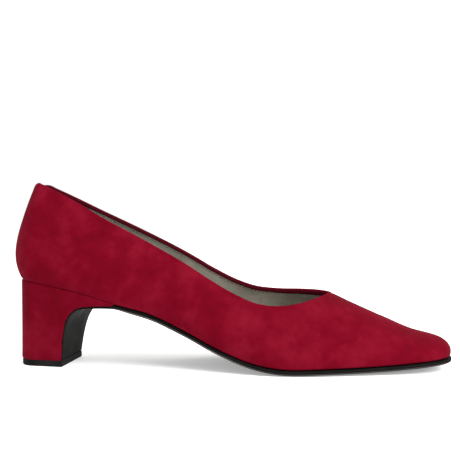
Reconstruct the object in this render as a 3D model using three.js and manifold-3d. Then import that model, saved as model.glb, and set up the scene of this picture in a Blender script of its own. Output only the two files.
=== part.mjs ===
// High-heel court pump, right foot, built as the layers a shoemaker lays up.
// Millimetres, +Z up, toe toward +X, medial side toward +Y, origin at the bottom centre of the box.
import * as THREE from "three";
import Module from "manifold-3d";

const manifold = await Module();
manifold.setup();

// ---- driving dimensions -------------------------------------------------------------------
const BACK_X = 8.4; // back of the feather line
const HEEL_CAP_X = 22; // where the round of the heel begins
const TOE_X = 262.4; // tip of the feather line
const TOE_CAP_X = TOE_X - 32.9; // where the round of the toe begins
const HEEL_ROUND = 2.1; // super-ellipse power of the heel round
const TOE_ROUND = 2.8; // super-ellipse power of the blunt toe
const THROAT_X = 193; // front point of the opening
const THROAT_Z = 43.9;

const SUEDE = 1.0;
const FIT_GAP = 0.3; // clearance between glued faces
const MIDDLE_OUT = -(SUEDE + FIT_GAP); // stiffeners sit inside the suede
const MIDDLE_IN = MIDDLE_OUT - 0.8;
const LINING_OUT = MIDDLE_IN - FIT_GAP;
const LINING_IN = LINING_OUT - 0.7;
const FOLD_SLACK = 0.7; // the fold stands clear of the layers it covers
const FOLD_OUT = LINING_IN - FOLD_SLACK;
const FOLD_IN = FOLD_OUT - 0.5;
const FOLD_DEPTH = 1.8; // how far the suede is turned inside the opening
const FOLD_CAP = 0.8;
const LASTING_MARGIN = 11;
const GRIP_X = 44; // heel grip lining ends
const COUNTER_X = 66; // heel counter ends
const VAMP_SEAM_X = 150; // quarter linings meet the vamp lining
const PUFF_X = 222; // toe puff begins
const SEAM_GAP = 0.5;
const INSOLE_THICK = 1.8;
const FOAM_THICK = 1.4;
const SOCK_THICK = 0.8;
const INSOLE_INSET = 3.8;
const SOCK_INSET = 4.4;

const HEEL_FRONT_X = 35.9; // breast line at the top piece
const HEEL_BASE_BACK_X = 9;
const HEEL_BASE_HALF = 16.6;
const HEEL_BASE_FLARE = 0.11; // the base widens toward the breast
const HEEL_GROW_POWER = 1.05; // how the block grows from its base into the seat
const HEEL_BASE_Y = -3;
const HEEL_BASE_ROUND = 2.4;
const HEEL_TOP_X = 68; // tip of the covered wedge under the waist
const TOP_PIECE_THICK = 3.9;
const TOP_PIECE_LIP = 0.4;
const FLAP_THICK = 1;
const SOLE_THICK = 2.6;
const SHANK_WIDTH = 12;
const SHANK_FROM_X = BACK_X + LASTING_MARGIN + 1.3; // clear of the lasting margin
const SHANK_TO_X = 129;
const NAIL_RADIUS = 0.9;
const NAIL_LENGTH = 19;
const FRONT_NAIL_LENGTH = 8; // the block is thin over the breast
const PIN_RADIUS = 1.3;
const PIN_LENGTH = 15;

// height of the feather line, half width of the last, its centre line, and its height over the feather
const FEATHER_Z = [
  [0, 52.4], [15, 50.6], [30, 47.9], [48, 44], [60, 40.7], [68, 38.2], [78, 35.6], [90, 32.4], [110, 23.7],
  [130, 13.8], [147, 7.2], [163, 3.9], [190, 3.7], [220, 4.7], [266, 8.1],
];
const HALF_WIDTH = [
  [0, 21.6], [31, 25], [60, 27.6], [90, 27.6], [115, 29.9], [140, 33.9],
  [160, 36.6], [180, 35.9], [200, 32], [220, 27.6], [241, 23.2], [266, 20.1],
];
const CENTRE_Y = [
  [0, -1.4], [31, -1.3], [60, -0.1], [90, 1.1], [115, 1.7], [160, 2.4],
  [200, 2.6], [241, 2.9], [266, 3.8],
];
const LAST_HEIGHT = [
  [0, 70], [40, 81.3], [90, 70.2], [140, 56.3], [175, 45.4], [193, 40.2],
  [207, 33.3], [225, 24.6], [244, 16.5], [255, 16], [266, 19],
];
// super-ellipse powers of the cross-section and the bulge over the feather line
const PLAN_POWER = [[0, 1.1], [60, 1.0], [120, 1.5], [175, 2.2], [210, 2.4], [241, 2.6], [266, 2.6]];
const RISE_POWER = [[0, 2], [30, 1.75], [60, 1.6], [120, 1.8], [175, 1.6], [210, 1.5], [241, 1.65], [266, 1.85]];
const BULGE = [[0, 5.8], [31, 4.5], [60, 3.6], [120, 2.6], [160, 1.5], [200, 1.4], [241, 1.8], [266, 2.5]];
const BULGE_PEAK = [[0, 25], [45, 20], [90, 15], [140, 12], [266, 12]]; // its height over the feather line
// height of the opening's edge on each side
const TOPLINE_LATERAL = [
  [0, 104], [13.5, 104.4], [16.6, 107.1], [19.2, 109], [22.2, 107.4], [27.7, 105.1], [35.8, 101.5], [41, 98.9], [61, 87.5], [85, 75.1], [113, 59.7],
  [127, 51], [141, 43.5], [152, 39.1], [161, 37.7], [175, 38.7], [186, 41.7], [193, THROAT_Z],
];
const TOPLINE_MEDIAL = [
  [0, 104], [13.5, 104.4], [16.6, 107.1], [18.5, 108.6], [23.5, 106.4], [35.5, 100.8], [48, 94.6], [75, 81.8], [106, 65.8], [122, 56.4],
  [137, 49], [148, 45.5], [160, 44.3], [178, 44.5], [186, 44.4], [193, THROAT_Z],
];
// front face of the heel in side view, from the top piece up to the wedge under the waist
const BREAST = [
  [HEEL_FRONT_X, 0], [36.8, 10], [37.6, 17], [38.8, 23.2], [40.5, 28.2], [42.8, 31.9],
  [46, 34.7], [50, 36.2], [55, 36.8], [61, 37.1], [HEEL_TOP_X, 37.3],
];
const SOLE_TAPER = [[68, 2.1], [80, 2.9], [100, 3.1], [125, 2.9], [145, 2.7], [175, SOLE_THICK], [266, SOLE_THICK]];
const SOLE_LIP = [[60, -0.7], [110, -0.5], [140, 0.5], [165, 0.9], [266, 1]];

// ---- curves -------------------------------------------------------------------------------
// cubic through the given points with slopes taken from their neighbours
function profile(points) {
  const last = points.length - 1;
  const rise = points.slice(1).map((p, i) => (p[1] - points[i][1]) / (p[0] - points[i][0]));
  const slope = points.map((p, i) => {
    if (i === 0) return rise[0];
    if (i === last) return rise[last - 1];
    const before = p[0] - points[i - 1][0];
    const after = points[i + 1][0] - p[0];
    return (rise[i - 1] * after + rise[i] * before) / (before + after);
  });
  return (at) => {
    const x = Math.min(Math.max(at, points[0][0]), points[last][0]);
    let i = 0;
    while (i < last - 1 && x >= points[i + 1][0]) i += 1;
    const step = points[i + 1][0] - points[i][0];
    const s = (x - points[i][0]) / step;
    const keep = (1 + 2 * s) * (1 - s) ** 2;
    const next = s * s * (3 - 2 * s);
    const lead = step * s * (1 - s) ** 2;
    const tail = step * s * s * (s - 1);
    return points[i][1] * keep + slope[i] * lead + points[i + 1][1] * next + slope[i + 1] * tail;
  };
}
const featherZ = profile(FEATHER_Z);
const halfWidth = profile(HALF_WIDTH);
const centreY = profile(CENTRE_Y);
const lastHeight = profile(LAST_HEIGHT);
const planPower = profile(PLAN_POWER);
const risePower = profile(RISE_POWER);
const bulge = profile(BULGE);
const bulgePeak = profile(BULGE_PEAK);
const topline = { "-1": profile(TOPLINE_LATERAL), 1: profile(TOPLINE_MEDIAL) };
const soleTaper = profile(SOLE_TAPER);
const soleLip = profile(SOLE_LIP);

// ---- the last: t runs from the back (0) to the toe (1), q from the feather line (0) to the ridge (1)
const HEEL_ARC = (Math.PI / 2) * (HEEL_CAP_X - BACK_X);
const TOE_ARC = (Math.PI / 2) * (TOE_X - TOE_CAP_X);
const RUN = HEEL_ARC + TOE_CAP_X - HEEL_CAP_X + TOE_ARC;
const stationAt = (x) => (HEEL_ARC + x - HEEL_CAP_X) / RUN;

function planStation(t) {
  const run = t * RUN;
  if (run < HEEL_ARC) {
    const a = (1 - run / HEEL_ARC) * (Math.PI / 2);
    const x = HEEL_CAP_X - (HEEL_CAP_X - BACK_X) * Math.sin(a) ** (2 / HEEL_ROUND);
    return { x, spread: Math.abs(Math.cos(a)) ** (2 / HEEL_ROUND), spine: HEEL_CAP_X };
  }
  const straight = HEEL_CAP_X + run - HEEL_ARC;
  if (straight <= TOE_CAP_X) return { x: straight, spread: 1, spine: straight };
  const a = Math.min((straight - TOE_CAP_X) / TOE_ARC, 1) * (Math.PI / 2);
  const x = TOE_CAP_X + (TOE_X - TOE_CAP_X) * Math.sin(a) ** (2 / TOE_ROUND);
  return { x, spread: Math.abs(Math.cos(a)) ** (2 / TOE_ROUND), spine: TOE_CAP_X };
}

// past the back or the toe the outline carries on along the other side
function wrap(t, side) {
  if (t < 0) return [-t, -side];
  if (t > 1) return [2 - t, -side];
  return [t, side];
}

function footprint(t, side) {
  const [at, on] = wrap(t, side);
  const s = planStation(at);
  return new THREE.Vector2(s.x, centreY(s.x) + on * halfWidth(s.x) * s.spread);
}

function planNormal(t, side) {
  const step = 1e-4;
  const tangent = footprint(t + step, side).sub(footprint(t - step, side)).normalize();
  return new THREE.Vector2(-side * tangent.y, side * tangent.x);
}

function skin(t, q, side) {
  if (q > 1) return skin(t, 2 - q, -side);
  const [at, on] = wrap(t, side);
  const s = planStation(at);
  const foot = footprint(at, on);
  const out = planNormal(at, on);
  const angle = (q * Math.PI) / 2;
  const reach = q >= 1 ? 0 : Math.cos(angle) ** (2 / planPower(s.x));
  const rise = Math.sin(angle) ** (2 / risePower(s.x));
  const spineY = centreY(s.spine);
  const x = s.spine + (foot.x - s.spine) * reach;
  const y = spineY + (foot.y - spineY) * reach;
  const h = lastHeight(x) * rise;
  const peak = bulgePeak(s.x);
  const swell = bulge(s.x) * (h / peak) * Math.exp(1 - h / peak) * reach;
  const px = x + out.x * swell;
  return new THREE.Vector3(px, y + out.y * swell, featherZ(px) + lastHeight(px) * rise);
}

const ridgeZ = (x) => featherZ(x) + lastHeight(x);

function skinNormal(t, q, side) {
  if (q > 0.9995) {
    const x = planStation(t).spine;
    return new THREE.Vector3(-(ridgeZ(x + 0.1) - ridgeZ(x - 0.1)) / 0.2, 0, 1).normalize();
  }
  const step = 5e-4;
  const along = skin(t + step, q, side).sub(skin(t - step, q, side));
  const up = skin(t, q + step, side).sub(skin(t, Math.max(q - step, 0), side));
  return along.cross(up).multiplyScalar(-side).normalize();
}

const layer = (t, q, side, offset) =>
  skin(t, q, side).addScaledVector(skinNormal(t, q, side), offset);

// q where the skin is at the opening's edge, lowered by drop; 1 in front of the throat
function edgeQ(t, side, drop = 0) {
  const s = planStation(t);
  if (s.spine >= throatX(drop) - 1e-9) return 1;
  let low = 0;
  let high = 1;
  for (let i = 0; i < 40; i += 1) {
    const mid = (low + high) / 2;
    const p = skin(t, mid, side);
    if (p.z < topline[side](Math.min(p.x, THROAT_X)) - drop) low = mid;
    else high = mid;
  }
  return (low + high) / 2;
}

function throatX(drop) {
  if (drop === 0) return THROAT_X;
  let low = THROAT_X;
  let high = THROAT_X + 20;
  for (let i = 0; i < 40; i += 1) {
    const mid = (low + high) / 2;
    if (ridgeZ(mid) > THROAT_Z - drop) low = mid;
    else high = mid;
  }
  return (low + high) / 2;
}

// q at a height over the feather line
const heightQ = (t, h) => {
  const s = planStation(t);
  return (Math.asin((h / lastHeight(s.x)) ** (risePower(s.x) / 2)) * 2) / Math.PI;
};

// stations of one side from the back to the toe, close together at the throat
function stations(drop = 0) {
  const throat = throatX(drop);
  const list = [];
  for (let i = 0; i < 5; i += 1) list.push(((i / 5) * HEEL_ARC) / RUN);
  for (let x = HEEL_CAP_X; x < 160; x += 11.5) list.push(stationAt(x));
  for (const back of [26, 18, 12, 7.5, 4.2, 2, 0.7, 0]) list.push(stationAt(throat - back));
  for (const ahead of [6, 13, 20]) list.push(stationAt(throat + ahead));
  for (const seam of [GRIP_X, COUNTER_X, VAMP_SEAM_X, PUFF_X]) list.push(stationAt(seam));
  for (let i = 0; i <= 7; i += 1) list.push(stationAt(TOE_CAP_X + (i / 7) * TOE_ARC));
  list.sort((a, b) => a - b);
  return list.filter((t, i) => i === 0 || t - list[i - 1] > 1e-4);
}

// stations between two x, with exact ends
function between(fromX, toX, drop = 0) {
  const from = stationAt(fromX);
  const to = stationAt(toX);
  const inside = stations(drop).filter((t) => t > from + 0.004 && t < to - 0.004);
  return [from, ...inside, to];
}

const both = (list) => [
  ...[...list].reverse().map((t) => ({ t, side: -1 })),
  ...list.filter((t) => t > 0).map((t) => ({ t, side: 1 })),
];
const roundToe = (list) => [
  ...list.map((t) => ({ t, side: -1 })),
  ...[...list].reverse().filter((t) => t < 1).map((t) => ({ t, side: 1 })),
];

// ---- solids -------------------------------------------------------------------------------
class Facets {
  constructor() {
    this.points = [];
    this.index = [];
    this.known = new Map();
  }
  id(p) {
    const key = `${Math.round(p.x * 500)},${Math.round(p.y * 500)},${Math.round(p.z * 500)}`;
    if (!this.known.has(key)) {
      this.known.set(key, this.points.length);
      this.points.push(p);
    }
    return this.known.get(key);
  }
  triangle(a, b, c) {
    const [i, j, k] = [this.id(a), this.id(b), this.id(c)];
    if (i !== j && j !== k && k !== i) this.index.push(i, j, k);
  }
  quad(a, b, c, d) {
    this.triangle(a, b, c);
    this.triangle(a, c, d);
  }
  geometry() {
    let volume = 0;
    for (let i = 0; i < this.index.length; i += 3) {
      const [a, b, c] = this.index.slice(i, i + 3).map((k) => this.points[k]);
      volume += a.dot(b.clone().cross(c));
    }
    if (volume < 0) this.index.reverse();
    const g = new THREE.BufferGeometry().setFromPoints(this.points);
    g.setIndex(this.index);
    return g;
  }
}

// a closed cross-section carried along a path; ends are closed where the path is open
function sweep(sections, { skip = () => false, capped = false } = {}) {
  const facets = new Facets();
  const count = sections[0].length;
  for (let i = 0; i + 1 < sections.length; i += 1) {
    for (let k = 0; k < count; k += 1) {
      const n = (k + 1) % count;
      if (skip(i, k)) continue;
      facets.quad(sections[i][k], sections[i + 1][k], sections[i + 1][n], sections[i][n]);
    }
  }
  if (capped) {
    // the section is a strip: first half one face, second half the other, in reverse
    const cap = (s, flip) => {
      for (let k = 0; k + 1 < count / 2; k += 1) {
        const q = [s[k], s[k + 1], s[count - 2 - k], s[count - 1 - k]];
        if (flip) q.reverse();
        facets.quad(...q);
      }
    };
    cap(sections[0], false);
    cap(sections[sections.length - 1], true);
  }
  return facets.geometry();
}

// one layer of the wall between two offsets from the skin
function wall(path, low, high, outer, inner, rows, capped) {
  const tops = path.map(({ t, side }) => high(t, side));
  const sections = path.map(({ t, side }, i) => {
    const bottom = low(t, side);
    const at = (j) => bottom + ((tops[i] - bottom) * j) / rows;
    const face = (offset) =>
      Array.from({ length: rows + 1 }, (_, j) => layer(t, at(j), side, offset));
    return [...face(outer), ...face(inner).reverse()];
  });
  const ridge = (i, k) => k === rows && tops[i] >= 1 && tops[i + 1] >= 1;
  return sweep(sections, { skip: ridge, capped });
}

// a flat-bottomed sheet that follows the feather line: rows run straight across
function plate(rows) {
  const sections = rows.map(({ lateral, medial, top, bottom }) => [
    new THREE.Vector3(lateral.x, lateral.y, top),
    new THREE.Vector3(medial.x, medial.y, top),
    new THREE.Vector3(medial.x, medial.y, bottom),
    new THREE.Vector3(lateral.x, lateral.y, bottom),
  ]);
  return sweep(sections, { capped: true });
}

// a plate over a run of stations, its edge a distance inside the footprint
function bottomPlate(list, inset, above, thick) {
  return plate(
    list.map((t) => {
      const edge = (side) => footprint(t, side).addScaledVector(planNormal(t, side), -inset);
      const lateral = edge(-1);
      const medial = edge(1);
      const x = (lateral.x + medial.x) / 2;
      lateral.x = x;
      medial.x = x;
      const bottom = featherZ(x) + above;
      return { lateral, medial, bottom, top: bottom + thick };
    }),
  );
}

function solid(geometry) {
  return new manifold.Manifold(
    new manifold.Mesh({
      numProp: 3,
      vertProperties: new Float32Array(geometry.getAttribute("position").array),
      triVerts: new Uint32Array(geometry.index.array),
    }),
  );
}

function welded(source) {
  const facets = new Facets();
  const g = source.index ? source.toNonIndexed() : source;
  const p = g.getAttribute("position");
  const at = (i) => new THREE.Vector3().fromBufferAttribute(p, i);
  for (let i = 0; i < p.count; i += 3) facets.triangle(at(i), at(i + 1), at(i + 2));
  return facets.geometry();
}

function geometryOf(body) {
  const mesh = body.getMesh();
  const g = new THREE.BufferGeometry();
  g.setAttribute("position", new THREE.BufferAttribute(new Float32Array(mesh.vertProperties), 3));
  g.setIndex([...mesh.triVerts]);
  return welded(g);
}

const cut = (geometry, ...tools) =>
  geometryOf(tools.reduce((body, tool) => body.subtract(solid(tool)), solid(geometry)));

// a turned piece along Z from [radius, z] points, seated at x, y
function turned(points, x, y, segments = 12) {
  const outline = points.map(([r, z]) => new THREE.Vector2(r, z));
  return welded(new THREE.LatheGeometry(outline, segments).rotateX(Math.PI / 2).translate(x, y, 0));
}
const rod = (radius, low, high, x, y, segments = 12) =>
  turned([[0, low], [radius, low], [radius, high], [0, high]], x, y, segments);

// ---- upper --------------------------------------------------------------------------------
const group = new THREE.Group();
group.name = "high_heel_pump";
const COLOURS = {
  suede: ["#9c0a2e", 0.95, 0],
  fold: ["#8a0c2a", 0.95, 0],
  thread: ["#8f1230", 0.8, 0],
  board: ["#b89a6c", 0.85, 0],
  stiffener: ["#d9cfb8", 0.8, 0],
  lining: ["#8f8a7e", 0.7, 0],
  sock: ["#a39e92", 0.65, 0],
  foam: ["#c9c4b4", 0.95, 0],
  steel: ["#9aa0a6", 0.35, 1],
  cork: ["#a9804f", 0.9, 0],
  sole: ["#1d1c1b", 0.5, 0],
  plastic: ["#d8d2c0", 0.6, 0],
};
function add(name, geometry, finish) {
  const [color, roughness, metalness] = COLOURS[finish];
  const flat = geometry.toNonIndexed();
  flat.computeVertexNormals();
  const material = new THREE.MeshStandardMaterial({ color, roughness, metalness });
  const mesh = new THREE.Mesh(flat, material);
  mesh.name = name;
  group.add(mesh);
}

const WALL_ROWS = 8;
const BOARD_Z = SUEDE + FIT_GAP; // underside of the insole over the feather line

function upperSection({ t, side }) {
  const top = edgeQ(t, side);
  const start = heightQ(t, SUEDE);
  const outer = Array.from({ length: WALL_ROWS + 1 }, (_, j) => skin(t, (top * j) / WALL_ROWS, side));
  const inner = Array.from({ length: WALL_ROWS + 1 }, (_, j) =>
    layer(t, start + ((top - start) * j) / WALL_ROWS, side, -SUEDE),
  );
  const foot = footprint(t, side);
  const spine = planStation(t).spine;
  const middle = new THREE.Vector2(spine, centreY(spine));
  const inside = (reach, height) => {
    const p = foot.clone().lerp(middle, reach / foot.distanceTo(middle));
    return new THREE.Vector3(p.x, p.y, featherZ(p.x) + height);
  };
  return [
    ...outer,
    ...inner.reverse(),
    inside(2.4, SUEDE),
    inside(LASTING_MARGIN, SUEDE),
    inside(LASTING_MARGIN, 0),
  ];
}
const loop = both(stations());
const upperTops = loop.map(({ t, side }) => edgeQ(t, side));
const upperBody = sweep(loop.map(upperSection), {
  skip: (i, k) => k === WALL_ROWS && upperTops[i] >= 1 && upperTops[i + 1] >= 1,
});

// frame along the opening's edge: away from the opening, and out of the skin
const openingPath = both(stations().filter((t) => planStation(t).spine <= THROAT_X + 1e-6));
const openingEdge = openingPath.map(({ t, side }) => skin(t, edgeQ(t, side), side));
function edgeFrame(i) {
  const count = openingEdge.length - 1;
  const next = openingEdge[i >= count ? 1 : i + 1];
  const before = openingEdge[i <= 0 ? count - 1 : i - 1];
  const along = next.clone().sub(before).normalize();
  const { t, side } = openingPath[i];
  const out = skinNormal(t, Math.min(edgeQ(t, side), 0.9999), side);
  out.addScaledVector(along, -out.dot(along)).normalize();
  const away = out.clone().cross(along);
  return { at: openingEdge[i], out, away };
}
// a ring along the edge from [offset, depth] points
function edgeRing(points) {
  return sweep(
    openingEdge.map((_, i) => {
      const { at, out, away } = edgeFrame(i);
      return points.map(([offset, depth]) =>
        at.clone().addScaledVector(out, offset).addScaledVector(away, depth),
      );
    }),
  );
}
const CAP_OUT = -(SUEDE + FOLD_SLACK);
add(
  "topline_fold",
  edgeRing([
    [CAP_OUT, 0.2], [CAP_OUT, FOLD_CAP], [FOLD_OUT, FOLD_CAP], [FOLD_OUT, FOLD_DEPTH],
    [FOLD_IN, FOLD_DEPTH], [FOLD_IN, 0.4], [FOLD_OUT, 0],
  ]),
  "fold",
);
const THREAD_DEPTH = FOLD_DEPTH + 0.8; // the stitches run in the lining just under the fold
add(
  "topline_thread",
  edgeRing([
    [FOLD_OUT, THREAD_DEPTH - 0.3], [FOLD_OUT, THREAD_DEPTH + 0.3],
    [FOLD_OUT - 0.4, THREAD_DEPTH + 0.2], [FOLD_OUT - 0.4, THREAD_DEPTH - 0.2],
  ]),
  "thread",
);

// stiffeners between the suede and the lining, then the lining in four pieces
const EDGE_DROP = 1.5; // the inner layers stop under the fold
const low = (t) => heightQ(t, BOARD_Z + FIT_GAP + 0.2);
const high = (t, side) => edgeQ(t, side, EDGE_DROP);
const WALL_LAYER_ROWS = 6;
const heelPath = (x) => both(stations(EDGE_DROP).filter((t) => t < stationAt(x) - 0.004).concat(stationAt(x)));
const toePath = (x) => roundToe([stationAt(x), ...stations(EDGE_DROP).filter((t) => t > stationAt(x) + 0.004)]);
const stiffener = (path) => wall(path, low, high, MIDDLE_OUT, MIDDLE_IN, WALL_LAYER_ROWS, true);
const lining = (path) => wall(path, low, high, LINING_OUT, LINING_IN, WALL_LAYER_ROWS, true);
add("heel_counter", stiffener(heelPath(COUNTER_X)), "stiffener");
add("toe_puff", stiffener(toePath(PUFF_X)), "stiffener");
// the cloth backing lies on both sides of the foot and is joined over the ridge only
function backingGeometry() {
  const rows = WALL_LAYER_ROWS;
  const facets = new Facets();
  for (const side of [-1, 1]) {
    const list = between(COUNTER_X + SEAM_GAP, PUFF_X - SEAM_GAP, EDGE_DROP);
    const grid = (offset) =>
      list.map((t) => {
        const a = low(t);
        const b = high(t, side);
        return Array.from({ length: rows + 1 }, (_, j) => layer(t, a + ((b - a) * j) / rows, side, offset));
      });
    const o = grid(MIDDLE_OUT);
    const n = grid(MIDDLE_IN);
    const face = (a, b, c, d) => (side < 0 ? facets.quad(a, b, c, d) : facets.quad(d, c, b, a));
    const end = list.length - 1;
    for (let i = 0; i < end; i += 1) {
      for (let j = 0; j < rows; j += 1) {
        face(o[i][j], o[i + 1][j], o[i + 1][j + 1], o[i][j + 1]);
        face(n[i][j], n[i][j + 1], n[i + 1][j + 1], n[i + 1][j]);
      }
      face(o[i + 1][0], o[i][0], n[i][0], n[i + 1][0]);
      const zipped = high(list[i], side) >= 1 && high(list[i + 1], side) >= 1;
      if (!zipped) face(o[i][rows], o[i + 1][rows], n[i + 1][rows], n[i][rows]);
    }
    for (let j = 0; j < rows; j += 1) {
      face(o[0][j], o[0][j + 1], n[0][j + 1], n[0][j]);
      face(o[end][j + 1], o[end][j], n[end][j], n[end][j + 1]);
    }
  }
  return facets.geometry();
}
add("vamp_backing", backingGeometry(), "stiffener");

add("lining_heel_grip", lining(heelPath(GRIP_X)), "lining");
for (const [name, side] of [["lining_quarter_lateral", -1], ["lining_quarter_medial", 1]]) {
  const list = between(GRIP_X + SEAM_GAP, VAMP_SEAM_X - SEAM_GAP, EDGE_DROP);
  add(name, lining(list.map((t) => ({ t, side }))), "lining");
}
add("lining_vamp", lining(toePath(VAMP_SEAM_X)), "lining");

// ---- bottom -------------------------------------------------------------------------------
const whole = stations();
const JOINT_X = 124;
const upTo = (x) => whole.filter((t) => t < stationAt(x) - 0.004).concat(stationAt(x));
const from = (x) => [stationAt(x), ...whole.filter((t) => t > stationAt(x) + 0.004)];
const FOAM_Z = BOARD_Z + INSOLE_THICK + FIT_GAP;
const SOCK_Z = FOAM_Z + FOAM_THICK + FIT_GAP;

// nails and screw that hold the heel, rivets that hold the shank, pins of the top piece
const NAILS = [
  [15, 8, NAIL_LENGTH], [15, -10, NAIL_LENGTH], [29, 11, NAIL_LENGTH], [29, -13, NAIL_LENGTH],
  [43, 11, FRONT_NAIL_LENGTH], [43, -12, FRONT_NAIL_LENGTH],
];
const SCREW_XY = [24, -1.2];
const RIVETS = [[66, 0.2], [118, 1.7]];
const PINS = [[16, HEEL_BASE_Y], [29, HEEL_BASE_Y]];
const SCREW_RADIUS = 2.2;
const RIVET_RADIUS = 1.6;
const headZ = (x) => featherZ(x) + BOARD_Z + INSOLE_THICK;
const hole = (radius, x, y, low, high) => rod(radius + FIT_GAP, low, high, x, y);

const nailHoles = NAILS.map(([x, y, length]) => hole(NAIL_RADIUS, x, y, headZ(x) - length - 1, headZ(x) + 6));
const screwHole = hole(SCREW_RADIUS, ...SCREW_XY, headZ(SCREW_XY[0]) - 28, headZ(SCREW_XY[0]) + 6);
const rivetHoles = RIVETS.map(([x, y]) => hole(RIVET_RADIUS, x, y, featherZ(x) - 6, featherZ(x) + 9));

add("upper_suede", cut(upperBody, ...nailHoles), "suede");
add(
  "insole_board_back",
  cut(bottomPlate(upTo(JOINT_X), INSOLE_INSET, BOARD_Z, INSOLE_THICK), ...nailHoles, screwHole, ...rivetHoles),
  "board",
);
add("insole_board_fore", bottomPlate(from(JOINT_X + 0.5), INSOLE_INSET, BOARD_Z, INSOLE_THICK), "board");
add("bottom_filler", fillerGeometry(), "cork");
function fillerGeometry() {
  const list = between(SHANK_TO_X + 2, 238);
  return plate(
    list.map((t) => {
      const s = planStation(t);
      const edge = (side) => {
        const foot = footprint(t, side);
        const middle = new THREE.Vector2(s.spine, centreY(s.spine));
        return foot.lerp(middle, (LASTING_MARGIN + 0.6) / foot.distanceTo(middle));
      };
      const lateral = edge(-1);
      const medial = edge(1);
      medial.x = lateral.x;
      const bottom = featherZ(lateral.x) + 0.1;
      return { lateral, medial, bottom, top: bottom + 0.8 };
    }),
  );
}
const shankRows = [];
for (let i = 0; i <= 14; i += 1) {
  const x = SHANK_FROM_X + ((SHANK_TO_X - SHANK_FROM_X) * i) / 14;
  const half = (SHANK_WIDTH / 2) * (i === 0 || i === 14 ? 0.6 : 1);
  const bottom = featherZ(x) + 0.05;
  shankRows.push({
    lateral: new THREE.Vector2(x, centreY(x) - half),
    medial: new THREE.Vector2(x, centreY(x) + half),
    bottom,
    top: bottom + 0.9,
  });
}
add("steel_shank", cut(plate(shankRows), screwHole, ...rivetHoles), "steel");
RIVETS.forEach(([x, y], i) => {
  const seat = featherZ(x - RIVET_RADIUS) + 0.1;
  const head = featherZ(x) + BOARD_Z + INSOLE_THICK - 0.2;
  const shaft = [[0, seat], [RIVET_RADIUS, seat], [RIVET_RADIUS, head], [0, head]];
  add(`shank_rivet_${i + 1}`, turned(shaft, x, y), "steel");
});
add("heel_pad", bottomPlate(upTo(92), SOCK_INSET + 1.2, FOAM_Z, FOAM_THICK), "foam");
add("forefoot_pad", bottomPlate(between(128, 226), SOCK_INSET + 2.2, FOAM_Z, FOAM_THICK), "foam");
add("sock_lining", bottomPlate(whole, SOCK_INSET, SOCK_Z, SOCK_THICK), "sock");

// ---- heel ---------------------------------------------------------------------------------
const BLOCK_Z = TOP_PIECE_THICK + FIT_GAP;
const heelStations = whole.filter((t) => t < stationAt(HEEL_TOP_X + 3) - 0.004).concat(stationAt(HEEL_TOP_X + 3));
const heelBaseHalf = (x) => HEEL_BASE_HALF + Math.max(0, (x - HEEL_CAP_X) * HEEL_BASE_FLARE);

function heelBase(t, side) {
  const run = t * RUN;
  if (run >= HEEL_ARC) {
    const { x } = planStation(t);
    return new THREE.Vector2(x, HEEL_BASE_Y + side * heelBaseHalf(x));
  }
  const a = (1 - run / HEEL_ARC) * (Math.PI / 2);
  const x = HEEL_CAP_X - (HEEL_CAP_X - HEEL_BASE_BACK_X) * Math.sin(a) ** (2 / HEEL_BASE_ROUND);
  const spread = Math.abs(Math.cos(a)) ** (2 / HEEL_BASE_ROUND);
  return new THREE.Vector2(x, HEEL_BASE_Y + side * HEEL_BASE_HALF * spread);
}

// the heel's plan at a share of its height, drawn in by an inset
function heelPoint(t, side, share, inset) {
  const seat = footprint(t, side);
  const p = heelBase(t, side).lerp(seat, share ** HEEL_GROW_POWER);
  return p.addScaledVector(planNormal(t, side), -inset);
}

const HEEL_LEVELS = 5;
function heelBody(inset, grow = 0) {
  const sections = heelStations.map((t) => {
    const x = planStation(t).x;
    const top = featherZ(x) - FIT_GAP;
    const column = (side) =>
      Array.from({ length: HEEL_LEVELS + 1 }, (_, j) => {
        const share = j / HEEL_LEVELS;
        const p = heelPoint(t, side, share, inset);
        return new THREE.Vector3(p.x, p.y, BLOCK_Z + (top - BLOCK_Z) * share);
      });
    const grown = (side) => {
      const list = column(side);
      const shift = (p, z) => p.clone().setZ(p.z + z);
      return grow ? [shift(list[0], -grow), ...list, shift(list[HEEL_LEVELS], grow)] : list;
    };
    return [...grown(-1), ...grown(1).reverse()];
  });
  return sweep(sections, { capped: true });
}

function sideCutter(points) {
  const shape = new THREE.Shape(points.map(([x, z]) => new THREE.Vector2(x, z)));
  const g = new THREE.ExtrudeGeometry(shape, { depth: 120, bevelEnabled: false });
  return welded(g.rotateX(Math.PI / 2).translate(0, 60, 0));
}
// past its tip the wedge is cut off upward, clear of the sole
const breastCutter = sideCutter([...BREAST, [HEEL_TOP_X + 20, 42], [HEEL_TOP_X + 20, -5], [HEEL_FRONT_X, -5]]);
add("heel_cover", cut(heelBody(0), heelBody(SUEDE, 2), breastCutter), "suede");
const pinHoles = PINS.map(([x, y]) => hole(PIN_RADIUS, x, y, 1.6, 1.6 + PIN_LENGTH + 0.6));
add(
  "heel_core",
  cut(heelBody(SUEDE + FIT_GAP), breastCutter, ...nailHoles, screwHole, ...pinHoles),
  "plastic",
);
const topPieceRows = heelStations
  .filter((t) => planStation(t).x < HEEL_FRONT_X - 1)
  .concat(stationAt(HEEL_FRONT_X + 1.3))
  .map((t) => {
    const edge = (side) => heelBase(t, side).addScaledVector(planNormal(t, side), TOP_PIECE_LIP);
    const lateral = edge(-1);
    const medial = edge(1);
    medial.x = lateral.x;
    return { lateral, medial, bottom: 0, top: TOP_PIECE_THICK };
  });
add("top_piece", cut(plate(topPieceRows), ...pinHoles), "sole");
PINS.forEach(([x, y], i) => {
  add(`top_piece_pin_${i + 1}`, rod(PIN_RADIUS, 1.9, 1.6 + PIN_LENGTH + 0.2, x, y), "steel");
});
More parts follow.
